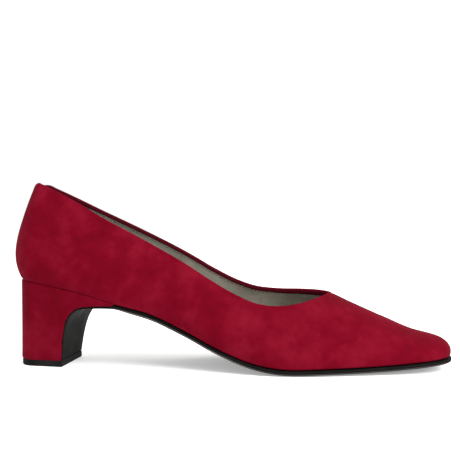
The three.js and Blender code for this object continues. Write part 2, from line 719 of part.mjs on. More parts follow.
NAILS.forEach(([x, y, length], i) => {
  const z = headZ(x);
  const nail = [[0, z - length], [NAIL_RADIUS, z - length + 2.5], [NAIL_RADIUS, z - 0.2], [0, z - 0.2]];
  add(`heel_nail_${i + 1}`, turned(nail, x, y, 10), "steel");
});
const screwTop = headZ(SCREW_XY[0]) - 0.2;
add(
  "heel_screw",
  turned(
    [[0, screwTop - 27], [SCREW_RADIUS, screwTop - 24], [SCREW_RADIUS, screwTop], [0, screwTop]],
    ...SCREW_XY,
    12,
  ),
  "steel",
);

// ---- outsole: down the breast, under the waist and out to the toe ---------------------------
function heelWidthAt(x, z, side) {
  const t = stationAt(x);
  const share = Math.min(Math.max((z - BLOCK_Z) / (featherZ(x) - FIT_GAP - BLOCK_Z), 0), 1);
  return heelPoint(t, side, share, 0).y;
}
const breastCurve = new THREE.SplineCurve(BREAST.map(([x, z]) => new THREE.Vector2(x, z)));
function outsoleSections() {
  const sections = [];
  const FLAP_STEPS = 16;
  for (let i = 0; i < FLAP_STEPS; i += 1) {
    const u = 0.085 + (0.915 * i) / FLAP_STEPS;
    const p = breastCurve.getPointAt(u);
    const tangent = breastCurve.getTangentAt(u);
    const thick = FLAP_THICK + (soleTaper(HEEL_TOP_X) - FLAP_THICK) * u ** 2;
    const face = new THREE.Vector2(p.x + tangent.y * FIT_GAP, p.y - tangent.x * FIT_GAP);
    const back = new THREE.Vector2(face.x + tangent.y * thick, face.y - tangent.x * thick);
    const y = (side) => heelWidthAt(p.x, p.y, side) + side * (u ** 3 * soleLip(HEEL_TOP_X));
    sections.push([
      new THREE.Vector3(face.x, y(-1), face.y),
      new THREE.Vector3(face.x, y(1), face.y),
      new THREE.Vector3(back.x, y(1), back.y),
      new THREE.Vector3(back.x, y(-1), back.y),
    ]);
  }
  for (const t of from(HEEL_TOP_X + 2)) {
    const edge = (side) => {
      const foot = footprint(t, side);
      return foot.addScaledVector(planNormal(t, side), soleLip(foot.x));
    };
    const lateral = edge(-1);
    const medial = edge(1);
    const x = (lateral.x + medial.x) / 2;
    const top = featherZ(x) - FIT_GAP;
    const bottom = top - soleTaper(x);
    sections.push([
      new THREE.Vector3(x, lateral.y, top),
      new THREE.Vector3(x, medial.y, top),
      new THREE.Vector3(x, medial.y, bottom),
      new THREE.Vector3(x, lateral.y, bottom),
    ]);
  }
  return sections;
}
add("outsole", sweep(outsoleSections(), { capped: true }), "sole");

// ---- seat the heel and the ball on one floor, origin at the bottom centre --------------------
const box = new THREE.Box3().setFromObject(group);
const centre = box.getCenter(new THREE.Vector3());
group.children.forEach((mesh) => mesh.position.set(-centre.x, -centre.y, -box.min.z));

export default group;
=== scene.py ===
"""High-heel court pump for the right foot, in millimetres along the last, shown in metres.

The last is one smooth surface with three parameters: t runs from the back seam (0) to the
toe (1), q from the feather line (0) up to the ridge (1), and side is -1 for the outer and
+1 for the inner side of the foot. Every piece of the shoe is drawn from that surface.
"""
import math

import bpy
import numpy as np
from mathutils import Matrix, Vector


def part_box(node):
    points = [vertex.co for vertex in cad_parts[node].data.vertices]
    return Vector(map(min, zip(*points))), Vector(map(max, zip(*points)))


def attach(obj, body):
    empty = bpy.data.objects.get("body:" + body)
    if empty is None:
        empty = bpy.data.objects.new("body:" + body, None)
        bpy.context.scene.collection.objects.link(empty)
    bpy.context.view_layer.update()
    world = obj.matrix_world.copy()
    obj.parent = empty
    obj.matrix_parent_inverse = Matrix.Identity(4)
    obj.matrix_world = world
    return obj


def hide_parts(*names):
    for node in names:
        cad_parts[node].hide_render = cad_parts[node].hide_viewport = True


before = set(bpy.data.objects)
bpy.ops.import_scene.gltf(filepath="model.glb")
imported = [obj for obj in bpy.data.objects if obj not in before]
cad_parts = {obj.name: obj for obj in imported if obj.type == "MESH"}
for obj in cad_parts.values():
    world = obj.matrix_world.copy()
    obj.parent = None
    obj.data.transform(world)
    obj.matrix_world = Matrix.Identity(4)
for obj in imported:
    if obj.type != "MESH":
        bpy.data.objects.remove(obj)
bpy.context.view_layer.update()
MM = 0.001
TURN = math.pi / 2

# ---- sizes of the last, in millimetres -------------------------------------------------------
BACK_X, HEEL_CAP_X, TOE_CAP_X, TOE_X = 8.4, 22.0, 229.5, 262.4
HEEL_ROUND, TOE_ROUND = 2.1, 2.8
THROAT_X, THROAT_Z = 193.0, 43.9
HEEL_TOP_X = 68.0
BLOCK_Z = 4.2
HEEL_BASE_BACK_X, HEEL_BASE_HALF, HEEL_BASE_Y, HEEL_BASE_ROUND = 9.0, 16.6, -3.0, 2.4
HEEL_BASE_FLARE, HEEL_GROW_POWER = 0.11, 1.05


def profile(points):
    """Smooth curve through (x, value) points: a cubic whose slope at each point is the mean of the
    slopes on both sides, each weighted by the other side's length."""
    x, y = np.array(points, float).T
    rise = np.diff(y) / np.diff(x)
    before, after = np.diff(x)[:-1], np.diff(x)[1:]
    slope = np.concatenate((
        rise[:1], (rise[:-1] * after + rise[1:] * before) / (before + after), rise[-1:]))

    def at(value):
        v = np.clip(np.asarray(value, float), x[0], x[-1])
        i = np.clip(np.searchsorted(x, v, side="right") - 1, 0, len(x) - 2)
        step = x[i + 1] - x[i]
        s = (v - x[i]) / step
        return (y[i] * (1 + 2 * s) * (1 - s) ** 2 + slope[i] * step * s * (1 - s) ** 2
                + y[i + 1] * s * s * (3 - 2 * s) + slope[i + 1] * step * s * s * (s - 1))

    return at


feather_z = profile([
    (0, 52.4), (15, 50.6), (30, 47.9), (48, 44), (60, 40.7), (68, 38.2), (78, 35.6), (90, 32.4),
    (110, 23.7), (130, 13.8), (147, 7.2), (163, 3.9), (190, 3.7), (220, 4.7), (266, 8.1)])
half_width = profile([
    (0, 21.6), (31, 25), (60, 27.6), (90, 27.6), (115, 29.9), (140, 33.9),
    (160, 36.6), (180, 35.9), (200, 32), (220, 27.6), (241, 23.2), (266, 20.1)])
centre_y = profile([
    (0, -1.4), (31, -1.3), (60, -0.1), (90, 1.1), (115, 1.7), (160, 2.4),
    (200, 2.6), (241, 2.9), (266, 3.8)])
last_height = profile([
    (0, 70), (40, 81.3), (90, 70.2), (140, 56.3), (175, 45.4), (193, 40.2),
    (207, 33.3), (225, 24.6), (244, 16.5), (255, 16), (266, 19)])
plan_power = profile([
    (0, 1.1), (60, 1.0), (120, 1.5), (175, 2.2), (210, 2.4), (241, 2.6), (266, 2.6)])
rise_power = profile([
    (0, 2), (30, 1.75), (60, 1.6), (120, 1.8), (175, 1.6), (210, 1.5), (241, 1.65), (266, 1.85)])
bulge_peak = profile([(0, 25), (45, 20), (90, 15), (140, 12), (266, 12)])
bulge = profile([
    (0, 5.8), (31, 4.5), (60, 3.6), (120, 2.6), (160, 1.5), (200, 1.4), (241, 1.8), (266, 2.5)])
top_lateral = profile([
    (0, 105.8), (13.5, 106), (16.6, 107.9), (19.2, 108.9), (22.2, 107.9), (27.7, 105.3),
    (35.8, 101.5), (41, 98.9), (61, 87.5), (85, 75.1), (113, 59.7), (127, 51), (141, 43.5),
    (152, 39.1), (161, 37.7), (175, 38.7), (186, 41.7), (193, THROAT_Z)])
top_medial = profile([
    (0, 105.8), (13.5, 106.6), (15.5, 108.2), (18.5, 108.7), (23.5, 106.5), (35.5, 100.8),
    (48, 94.6), (75, 81.8), (106, 65.8), (122, 56.4), (137, 49), (148, 45.5),
    (160, 44.3), (178, 44.5), (186, 44.4), (193, THROAT_Z)])
sole_taper = profile([
    (68, 2.1), (80, 2.9), (100, 3.1), (125, 2.9), (145, 2.7), (175, 2.6), (266, 2.6)])
sole_lip = profile([(60, -0.7), (110, -0.5), (140, 0.5), (165, 0.9), (266, 1)])
BREAST = np.array([
    (35.9, 0), (36.8, 10), (37.6, 17), (38.8, 23.2), (40.5, 28.2), (42.8, 31.9),
    (46, 34.7), (50, 36.2), (55, 36.8), (61, 37.1), (68, 37.3)])

HEEL_ARC = TURN * (HEEL_CAP_X - BACK_X)
TOE_ARC = TURN * (TOE_X - TOE_CAP_X)
RUN = HEEL_ARC + TOE_CAP_X - HEEL_CAP_X + TOE_ARC

# the model's own zero, found from the frame's top piece, which stands out behind the heel
TOP_PIECE_OVERHANG = 0.4
low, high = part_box("top_piece")
ZERO = np.array([low.x / MM - (HEEL_BASE_BACK_X - TOP_PIECE_OVERHANG),
                 (low.y + high.y) / 2 / MM - HEEL_BASE_Y, 0.0])


# ---- the last --------------------------------------------------------------------------------
def alike(*values):
    """The values as float arrays of one shape."""
    return np.broadcast_arrays(*(np.asarray(v, float) for v in values))


def unit(v):
    return v / np.maximum(np.linalg.norm(v, axis=-1, keepdims=True), 1e-12)


def run_along(points):
    """Distance of each point from the first one, measured along the line."""
    return np.concatenate(((0,), np.cumsum(np.linalg.norm(np.diff(points, axis=0), axis=1))))


def station_at(x):
    """Station of a place on the straight part of the outline."""
    return (HEEL_ARC + x - HEEL_CAP_X) / RUN


def plan(t):
    """Place along the sole, share of the half width and spine place at station t: super-ellipse
    arcs round the heel and the toe, straight between them."""
    run = np.asarray(t, float) * RUN
    straight = HEEL_CAP_X + run - HEEL_ARC
    at_heel, at_toe = run < HEEL_ARC, straight > TOE_CAP_X
    a = np.where(at_heel, 1 - run / HEEL_ARC, (straight - TOE_CAP_X) / TOE_ARC)
    a = np.clip(a, 0, 1) * TURN
    sine, cosine = np.sin(a), np.abs(np.cos(a))
    cosine = np.where(a >= TURN, 0, cosine)
    heel_x = HEEL_CAP_X - (HEEL_CAP_X - BACK_X) * sine ** (2 / HEEL_ROUND)
    toe_x = TOE_CAP_X + (TOE_X - TOE_CAP_X) * sine ** (2 / TOE_ROUND)
    x = np.where(at_heel, heel_x, np.where(at_toe, toe_x, straight))
    spread = np.where(at_heel, cosine ** (2 / HEEL_ROUND),
                      np.where(at_toe, cosine ** (2 / TOE_ROUND), 1))
    return x, spread, np.clip(straight, HEEL_CAP_X, TOE_CAP_X)


def wrap(t, side):
    """Past the back or the toe the outline carries on along the other side."""
    t, side = alike(t, side)
    over = (t < 0) | (t > 1)
    return np.where(t < 0, -t, np.where(t > 1, 2 - t, t)), np.where(over, -side, side)


def footprint(t, side):
    """Point of the outline at station t."""
    t, side = wrap(t, side)
    x, spread, _ = plan(t)
    return np.stack((x, centre_y(x) + side * half_width(x) * spread), -1)


def spine_points(t):
    """The footprint's middle line."""
    spine = plan(t)[2]
    return np.stack((spine, centre_y(spine)), -1)


def plan_normal(t, side):
    """Level outward direction of the outline."""
    side = np.asarray(side, float)
    d = unit(footprint(t + 1e-4, side) - footprint(t - 1e-4, side))
    return np.stack((-side * d[..., 1], side * d[..., 0]), -1)


def skin(t, q, side):
    """Point of the last: the footprint point shrinks towards the spine by cos to a power while the
    height grows by sin to a power, with a swelling just over the feather line."""
    t, q, side = alike(t, q, side)
    side = np.where(q > 1, -side, side)
    q = np.where(q > 1, 2 - q, q)
    t, side = wrap(t, side)
    sx, _, spine = plan(t)
    foot, out = footprint(t, side), plan_normal(t, side)
    a = q * TURN
    reach = np.where(q >= 1, 0, np.abs(np.cos(a)) ** (2 / plan_power(sx)))
    rise = np.abs(np.sin(a)) ** (2 / rise_power(sx))
    spine_y = centre_y(spine)
    x = spine + (foot[..., 0] - spine) * reach
    y = spine_y + (foot[..., 1] - spine_y) * reach
    h = last_height(x) * rise
    peak = bulge_peak(sx)
    swell = bulge(sx) * (h / peak) * np.exp(1 - h / peak) * reach
    px = x + out[..., 0] * swell
    return np.stack((px, y + out[..., 1] * swell, feather_z(px) + last_height(px) * rise), -1)


def ridge_z(x):
    return feather_z(x) + last_height(x)


def skin_normal(t, q, side):
    """Outward direction of the last, straight across the ridge at its top."""
    step = 5e-4
    along = skin(t + step, q, side) - skin(t - step, q, side)
    up = skin(t, q + step, side) - skin(t, np.maximum(q - step, 0), side)
    n = unit(np.cross(along, up) * -np.asarray(side, float)[..., None])
    x = plan(t)[2]
    ridge = unit(np.stack((-(ridge_z(x + 0.1) - ridge_z(x - 0.1)) / 0.2, 0 * x, 1 + 0 * x), -1))
    return np.where((q > 0.9995)[..., None], ridge, n)


def layer(t, q, side, offset):
    """Point at a distance outside the last, or inside it where offset is below zero."""
    t, q, side = alike(t, q, side)
    return skin(t, q, side) + skin_normal(t, q, side) * np.asarray(offset, float)[..., None]


def halving(low, high, below, steps=40):
    """The value between low and high where below(value) turns from true to false."""
    for _ in range(steps):
        mid = (low + high) / 2
        under = below(mid)
        low, high = np.where(under, mid, low), np.where(under, high, mid)
    return (low + high) / 2


THROAT_SEARCH = 30


def throat_x(drop):
    """Where a line that runs drop below the opening's edge crosses the ridge in front of it."""
    if drop == 0:
        return THROAT_X
    level = THROAT_Z - drop
    return float(halving(THROAT_X, THROAT_X + THROAT_SEARCH, lambda x: ridge_z(x) > level))


def edge_q(t, side, drop=0.0):
    """q of the opening's edge, lowered by drop; 1 in front of the throat."""
    t, side = alike(t, side)

    def below(q):
        p = skin(t, q, side)
        x = np.minimum(p[..., 0], THROAT_X)
        return p[..., 2] < np.where(side < 0, top_lateral(x), top_medial(x)) - drop

    q = halving(np.zeros_like(t), np.ones_like(t), below)
    return np.where(plan(t)[2] >= throat_x(drop) - 1e-9, 1.0, q)


def height_q(t, h):
    """q at which the last has risen h above the feather line."""
    x = plan(t)[0]
    return np.arcsin((h / last_height(x)) ** (rise_power(x) / 2)) * 2 / math.pi


CROWDING, CROWD_WIDTH = 2.4, 5


def stations(count, start=0.0, end=1.0, must=()):
    """count stations, evenly spaced round the footprint but close together at the throat; the
    nearest ones are moved onto the places that must be met exactly."""
    fine = np.linspace(start, end, 6001)
    step = np.linalg.norm(np.diff(footprint(fine, 1), axis=0), axis=1)
    x = plan((fine[1:] + fine[:-1]) / 2)[2]
    weight = 1 + CROWDING * np.exp(-((x - THROAT_X) / CROWD_WIDTH) ** 2)
    run = np.concatenate(((0,), np.cumsum(step * weight)))
    t = np.interp(np.linspace(0, run[-1], count), run, fine)
    for m in must:
        t[np.argmin(np.abs(t - m))] = m
    return t


def loop(t):
    """Stations down the lateral side to the back and up the medial side."""
    back_up = t[t > 0]
    return (np.concatenate((t[::-1], back_up)),
            np.concatenate((-np.ones(len(t)), np.ones(len(back_up)))))


def round_toe(t):
    """Stations up the lateral side to the toe and back down the medial side."""
    back_down = t[::-1][t[::-1] < 1]
    return (np.concatenate((t, back_down)),
            np.concatenate((-np.ones(len(t)), np.ones(len(back_down)))))


# ---- mesh building ---------------------------------------------------------------------------
MERGE = 1e4  # points that round to the same ten-thousandth of a millimetre are one


def new_piece(name, points, faces, sharp, marks=None):
    """A smooth mesh object from points in millimetres and a list of faces. Edges that turn by more
    than sharp degrees stay sharp, and marks are values on the points."""
    mesh = bpy.data.meshes.new(name)
    mesh.from_pydata(((points + ZERO) * MM).tolist(), [], faces)
    mesh.polygons.foreach_set("use_smooth", np.ones(len(mesh.polygons), bool))
    for mark, values in (marks or {}).items():
        mark_on = mesh.attributes.new(mark, "FLOAT", "POINT")
        mark_on.data.foreach_set("value", values.astype(np.float32))
    mesh.update()
    mesh.set_sharp_from_angle(angle=math.radians(sharp))
    piece = bpy.data.objects.new(name, mesh)
    bpy.context.scene.collection.objects.link(piece)
    return piece


def build(name, points, faces, marks=None, sharp=50):
    """A mesh object from points in millimetres and quads; points that fall together are joined,
    quads that lose a corner become triangles, and the whole is turned to face outward."""
    flat = points.reshape(-1, 3)
    _, first, same = np.unique(np.round(flat * MERGE).astype(np.int64), axis=0,
                               return_index=True, return_inverse=True)
    quads = same.reshape(-1)[faces]
    apart = quads != np.roll(quads, -1, axis=1)
    full = quads[apart.all(axis=1)]
    full = full[(full[:, 0] != full[:, 2]) & (full[:, 1] != full[:, 3])]
    three = apart.sum(axis=1) == 3
    tri = quads[three][apart[three]].reshape(-1, 3)
    tri = tri[(tri[:, 0] != tri[:, 1]) & (tri[:, 1] != tri[:, 2]) & (tri[:, 0] != tri[:, 2])]
    place = flat[first]
    centre = place.mean(axis=0)
    p = place - centre
    soup = np.concatenate((full[:, :3], full[:, [0, 2, 3]], tri))
    volume = np.einsum("ij,ij->i", p[soup[:, 0]], np.cross(p[soup[:, 1]], p[soup[:, 2]])).sum()
    if volume < 0:
        full, tri = full[:, ::-1], tri[:, ::-1]
    marks = {mark: values.reshape(-1)[first] for mark, values in (marks or {}).items()}
    return new_piece(name, place, full.tolist() + tri.tolist(), sharp, marks)


def cells(rows, columns, close_rows=False, close_columns=False):
    """Corner numbers of the quads of a rows by columns grid."""
    i = np.arange(rows if close_rows else rows - 1)
    k = np.arange(columns if close_columns else columns - 1)
    i, k = np.meshgrid(i, k, indexing="ij")
    a, b = i * columns, ((i + 1) % rows) * columns
    c, d = k, (k + 1) % columns
    return np.stack((a + c, b + c, b + d, a + d), -1)


def tube(name, points, marks=None, close_path=False, skip=None, sharp=50):
    """A closed cross-section (second axis) carried along a path (first axis), without the quads
    marked in skip."""
    faces = cells(*points.shape[:2], close_path, True)
    if skip is not None:
        faces = faces[~skip]
    return build(name, points, faces.reshape(-1, 4), marks, sharp)


def waves(p, length, seed):
    """Smooth value in space from -1 to 1: three crossed sine waves of about this length."""
    turn = np.random.default_rng(seed).uniform(0, 2 * math.pi, (3, 4))
    total = 0
    for a, b, c, shift in turn:
        way = np.array([math.cos(a), math.sin(a) * math.cos(b), math.sin(a) * math.sin(b)])
        total = total + np.sin(p @ way * (2 * math.pi / length) * (1 + 0.3 * math.sin(c)) + shift)
    return total / 3


# ---- materials -------------------------------------------------------------------------------
def hex_colour(text):
    """Linear red, green, blue and 1 from a colour written as it is seen on a screen."""
    seen = np.array([int(text[i:i + 2], 16) for i in (1, 3, 5)]) / 255
    linear = np.where(seen <= 0.04045, seen / 12.92, ((seen + 0.055) / 1.055) ** 2.4)
    return (*linear.tolist(), 1.0)


def node(tree, kind, inputs=None, **settings):
    """Adds a node, sets its settings and its inputs; an input that is a socket is linked."""
    made = tree.nodes.new(kind)
    for key, value in settings.items():
        setattr(made, key, value)
    for key, value in (inputs or {}).items():
        if isinstance(value, bpy.types.NodeSocket):
            tree.links.new(value, made.inputs[key])
        else:
            made.inputs[key].default_value = value
    return made


def speckle(tree, size, detail=2.0, roughness=0.55, stretch=(1, 1, 1)):
    """Noise whose spots are about size millimetres across, longer where stretch is over 1."""
    place = node(tree, "ShaderNodeTexCoord").outputs["Object"]
    scale = tuple(1 / (MM * s) for s in stretch)
    place = node(tree, "ShaderNodeMapping", {"Vector": place, "Scale": scale}).outputs[0]
    return node(tree, "ShaderNodeTexNoise", {
        "Vector": place, "Scale": 0.55 / size, "Detail": detail,
        "Roughness": roughness}).outputs["Fac"]


def ramp(tree, value, stops):
    """Colour for a value, from (place, colour) stops."""
    made = node(tree, "ShaderNodeValToRGB", {"Fac": value})
    band = made.color_ramp.elements
    while len(band) < len(stops):
        band.new(0.5)
    for element, (place, colour) in zip(band, stops):
        element.position = place
        element.color = hex_colour(colour)
    return made.outputs["Color"]


def stretch_range(tree, value, a, b, low, high):
    """The range a to b mapped to low to high."""
    return node(tree, "ShaderNodeMapRange", {
        "Value": value, "From Min": a, "From Max": b, "To Min": low,
        "To Max": high}).outputs["Result"]


def sums(tree, *parts):
    """Weighted sum of sockets, given as (socket, weight) pairs."""
    total = None
    for socket, weight in parts:
        term = node(tree, "ShaderNodeMath", {0: socket, 1: weight}, operation="MULTIPLY").outputs[0]
        if total is not None:
            term = node(tree, "ShaderNodeMath", {0: total, 1: term}, operation="ADD").outputs[0]
        total = term
    return total


def mix(tree, share, a, b):
    """Colour a blended into colour b by share; each may be a socket or a value."""
    made = node(tree, "ShaderNodeMix", data_type="RGBA")
    for socket, value in (("Factor", share), ("A", a), ("B", b)):
        kind = "VALUE" if socket == "Factor" else "RGBA"
        target = [s for s in made.inputs if s.name == socket and s.type == kind][0]
        if isinstance(value, bpy.types.NodeSocket):
            tree.links.new(value, target)
        else:
            target.default_value = value
    return [s for s in made.outputs if s.type == "RGBA"][0]


def relief(tree, height, depth, under=None):
    """Bump of the given depth in millimetres, on top of another one if given."""
    inputs = {"Height": height, "Distance": depth * MM, "Strength": 1.0}
    if under is not None:
        inputs["Normal"] = under
    return node(tree, "ShaderNodeBump", inputs).outputs["Normal"]


def material(made, colour, normal, roughness, **shader):
    """Fills in the shader of a new tree; colour, normal and roughness may be sockets."""
    tree = made["tree"]
    inputs = {"Base Color": colour, "Roughness": roughness}
    inputs.update({key.replace("_", " "): value for key, value in shader.items()})
    if normal is not None:
        inputs["Normal"] = normal
    surface = node(tree, "ShaderNodeBsdfPrincipled", inputs)
    node(tree, "ShaderNodeOutputMaterial", {"Surface": surface.outputs["BSDF"]})
    return made["material"]


def new_tree(name):
    """A material with an empty node tree."""
    made = bpy.data.materials.new(name)
    made.use_nodes = True
    made.node_tree.nodes.clear()
    return {"tree": made.node_tree, "material": made}


# NAP_PAINTED_SHADE is painted shade: the dark colour given to the inside of the turned edge, which
# lies in the opening's shadow
NAP_DARK, NAP_MIDDLE, NAP_LIGHT, NAP_PAINTED_SHADE = "#51000b", "#5e0114", "#6f0c1f", "#33020a"
NAP_RIM = "#c8284a"  # the colour that fibre tips show at a grazing angle


def suede(name, inside_shade_colour=None):
    """Kid suede, with the flesh side finished by buffing: brushed nap lies in soft light and dark
    patches of 6 to 20 mm, short fibres break the surface at half a millimetre, and the nap glows at
    the rim. Where the mesh marks the inside of the turned edge, the colour is darkened towards a
    painted shade colour, standing in for the shadow inside the opening."""
    m = new_tree(name)
    tree = m["tree"]
    patch = speckle(tree, 14, 3, 0.6, (1.1, 1, 1.2))
    stroke = speckle(tree, 4, 3, 0.6, (1.2, 1, 1.1))
    fibre = speckle(tree, 0.42, 2, 0.7)
    shade = sums(tree, (patch, 0.62), (stroke, 0.28), (fibre, 0.12))
    colour = ramp(tree, shade, [(0.34, NAP_DARK), (0.50, NAP_MIDDLE), (0.68, NAP_LIGHT)])
    if inside_shade_colour:
        # painted shade: darker towards the inside of the turned edge, as the mesh marks it
        turned = node(tree, "ShaderNodeAttribute", attribute_name="painted_fold_shade").outputs["Fac"]
        colour = mix(tree, turned, colour, hex_colour(inside_shade_colour))
    bumps = relief(tree, speckle(tree, 0.30, 3, 0.75), 0.16, relief(tree, stroke, 0.22))
    rough = stretch_range(tree, fibre, 0.3, 0.7, 0.82, 1.0)
    return material(m, colour, bumps, rough, Sheen_Weight=0.07, Sheen_Roughness=0.45,
                    Sheen_Tint=hex_colour(NAP_RIM), Specular_IOR_Level=0.04)


PORE = 0.9


def leather(name, dark, middle, light, rough=(0.5, 0.75)):
    """Vegetable-tanned lining leather: fine pebble grain with pores, cloudy wear patches and a
    slight polish where the foot rubs."""
    m = new_tree(name)
    tree = m["tree"]
    cloud = speckle(tree, 14, 4, 0.62)
    smear = speckle(tree, 4, 3, 0.6, (2.4, 1, 1))
    grain = speckle(tree, 0.5, 2, 0.6)
    shade = sums(tree, (cloud, 0.55), (smear, 0.3), (grain, 0.15))
    colour = ramp(tree, shade, [(0.34, dark), (0.5, middle), (0.66, light)])
    place = node(tree, "ShaderNodeTexCoord").outputs["Object"]
    cell = node(tree, "ShaderNodeTexVoronoi", {"Vector": place, "Scale": 1 / (PORE * MM)})
    bumps = relief(tree, cell.outputs["Distance"], 0.07, relief(tree, smear, 0.15))
    return material(m, colour, bumps, stretch_range(tree, cloud, 0.3, 0.7, *rough),
                    Specular_IOR_Level=0.35)


def rubber(name, dark, light, rough=(0.38, 0.6), highlight_colour=None):
    """Moulded rubber sole, finished by buffing: near-black, dusty in patches, with fine buffing
    scratches; paler where the mesh marks a painted highlight on the lower edge."""
    m = new_tree(name)
    tree = m["tree"]
    dust = speckle(tree, 6, 4, 0.65)
    scratch = speckle(tree, 0.35, 2, 0.7, (7, 1, 1))
    shade = sums(tree, (dust, 0.6), (scratch, 0.4))
    colour = ramp(tree, shade, [(0.38, dark), (0.62, light)])
    # painted highlight: the lower edge is made paler where the mesh marks it, for the white floor's
    # light on the rounded edge
    if highlight_colour:
        edge_highlight = node(tree, "ShaderNodeAttribute", attribute_name="painted_edge_highlight").outputs["Fac"]
        colour = mix(tree, edge_highlight, colour, hex_colour(highlight_colour))
    bumps = relief(tree, scratch, 0.035, relief(tree, speckle(tree, 0.5, 3, 0.7), 0.05))
    return material(m, colour, bumps, stretch_range(tree, dust, 0.3, 0.7, *rough),
                    Specular_IOR_Level=0.01)


def plain(name, dark, light, size, depth, rough, metallic=0.0, stretch=(1, 1, 1)):
    """A plain hidden stuff with its own grain: size and depth in millimetres."""
    m = new_tree(name)
    tree = m["tree"]
    grain = speckle(tree, size, 4, 0.65, stretch)
    colour = ramp(tree, grain, [(0.35, dark), (0.65, light)])
    return material(m, colour, relief(tree, grain, depth), rough, Metallic=metallic)


SUEDE_RED = suede("kid_suede_red")
# the turned edge's suede, with painted shade on its inner side
SUEDE_FOLD = suede("kid_suede_turned_edge", NAP_PAINTED_SHADE)
LINING = leather("lining_leather_grey", "#7d7971", "#938f86", "#a6a298")
GRIP = leather("heel_grip_leather_dark_grey", "#45433e", "#53504a", "#615e57")
SOCK = leather("sock_leather_taupe", "#8b8477", "#a39b8d", "#b9b1a2", rough=(0.42, 0.7))
# the paler colour of the sole is a painted highlight on its lower edge
SOLE = rubber("sole_rubber_black", "#0e0d0d", "#191817", highlight_colour="#4a4744")
TOP_RUBBER = rubber("top_piece_rubber_black", "#141313", "#201f1f", (0.4, 0.6))
THREAD = plain("twisted_nylon_thread_grey", "#4c483f", "#7d776b", 0.35, 0.08, 0.6)
HIDDEN = {
    "board": plain("pressed_fibre_board", "#a88a5c", "#c7ab7c", 0.6, 0.08, 0.9),
    "stiffener": plain("impregnated_felt", "#cdc3aa", "#e2d9c4", 0.4, 0.1, 0.95),
    "foam": plain("latex_foam", "#bfb9a8", "#d8d2c3", 0.5, 0.2, 0.95),
    "steel": plain("rolled_spring_steel", "#7d8388", "#aab0b5", 0.2, 0.02, 0.35, 1.0, (9, 1, 1)),
    "cork": plain("ground_cork", "#8a6238", "#b98d58", 1.4, 0.3, 0.9),
    "plastic": plain("moulded_heel_plastic", "#cfc8b4", "#e0dac8", 2.5, 0.05, 0.5),
}


def finish(piece, paint, slot, *nodes):
    """Paints a piece, rides it on the shoe and hides the nodes of the frame it stands for."""
    piece.data.materials.append(paint)
    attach(piece, "root")
    if nodes:
        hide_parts(*nodes)


# ---- upper -----------------------------------------------------------------------------------
WALL_DROP = 0.9  # the wall ends under the turned edge
SUEDE_THICK, LASTING_MARGIN, FOOT_ROUND, UNEVEN = 1.0, 11.0, 1.3, 0.14
WALL_ROWS = 76


def upper_points():
    """Wall from the feather line to just under the opening's edge, its inner face, and the lasting
    margin turned 11 mm under the insole. The foot of the wall is rounded by 1.3 mm, and the skin
    is uneven by a seventh of a millimetre as pulled leather is."""
    closing = station_at(throat_x(WALL_DROP))
    t, side = loop(stations(330, must=(closing,)))
    top = edge_q(t, side, WALL_DROP)
    rows = np.linspace(0, 1, WALL_ROWS)
    q = top[:, None] * (0.72 * rows + 0.28 * rows ** 2)
    T, S = t[:, None] + 0 * q, side[:, None] + 0 * q
    p = skin(T, q, S)
    n = skin_normal(T, q, S)
    above = p[..., 2] - feather_z(p[..., 0])
    h = np.clip(above, 0, FOOT_ROUND)
    tuck = FOOT_ROUND - np.sqrt(np.maximum(FOOT_ROUND ** 2 - (FOOT_ROUND - h) ** 2, 0))
    uneven = UNEVEN * waves(p, 31, 3) * np.clip(above / 8, 0, 1)
    outer = p + n * (uneven - 0.8 * tuck)[..., None]
    start = height_q(t, 1.0)
    inner_rows = np.linspace(1, 0, 22)
    qi = start[:, None] + (top - start)[:, None] * inner_rows
    inner = layer(t[:, None], qi, side[:, None], -SUEDE_THICK)
    foot, middle = footprint(t, side), spine_points(t)
    far = np.linalg.norm(middle - foot, axis=1, keepdims=True)

    def margin(reach, height):
        xy = foot + (middle - foot) * reach / far
        return np.concatenate((xy, (feather_z(xy[:, 0]) + height)[:, None]), 1)[:, None]

    under = [margin(2.4, SUEDE_THICK), margin(LASTING_MARGIN, SUEDE_THICK),
             margin(LASTING_MARGIN, 0.15), margin(2.0, 0.12), margin(0.9, 0.2)]
    ring = np.concatenate([outer, inner, *under], axis=1)
    closed = top >= 1
    skip = np.zeros(ring.shape[:2], bool)[:-1]
    skip[:, WALL_ROWS - 1] = closed[:-1] & closed[1:]
    return ring, skip


ring, skip = upper_points()
finish(tube("pump_upper", ring, skip=skip), SUEDE_RED, "suede", "upper_suede")


# ---- turned edge of the opening --------------------------------------------------------------
def edge_frames(count):
    """Points on the opening's edge with their directions: along it, out of the skin and down
    the wall, away from the opening."""
    t, side = loop(stations(count, end=station_at(THROAT_X)))
    q = edge_q(t, side)
    at = skin(t, q, side)
    out = skin_normal(t, np.minimum(q, 0.9999), side)
    closed = np.concatenate((at[-2:-1], at, at[1:2]))
    along = unit(closed[2:] - closed[:-2])
    out = unit(out - along * (out * along).sum(-1, keepdims=True))
    # the skin's direction turns quickly at the throat, so it is evened out along the edge
    for _ in range(6):
        ends = np.concatenate((out[-2:-1], out, out[1:2]))
        out = unit(0.25 * ends[:-2] + 0.5 * ends[1:-1] + 0.25 * ends[2:])
        out = unit(out - along * (out * along).sum(-1, keepdims=True))
    return at, along, out, np.cross(out, along)


# section of the turned edge: out from the skin, down from the edge
FOLD = np.array([
    (-0.06, 2.1), (0.02, 1.8), (0.07, 1.35), (0.1, 0.9), (0.08, 0.45), (-0.03, 0.06),
    (-0.4, -0.2), (-1.0, -0.32), (-1.7, -0.34), (-2.3, -0.28), (-2.9, -0.1), (-3.3, 0.12),
    (-3.52, 0.36), (-3.6, 0.6), (-3.58, 0.8), (-3.5, 0.92), (-3.38, 0.93), (-3.28, 0.84),
    (-3.22, 0.72), (-3.0, 0.62), (-2.4, 0.55), (-1.3, 0.55), (-0.45, 0.75), (-0.28, 1.4)])


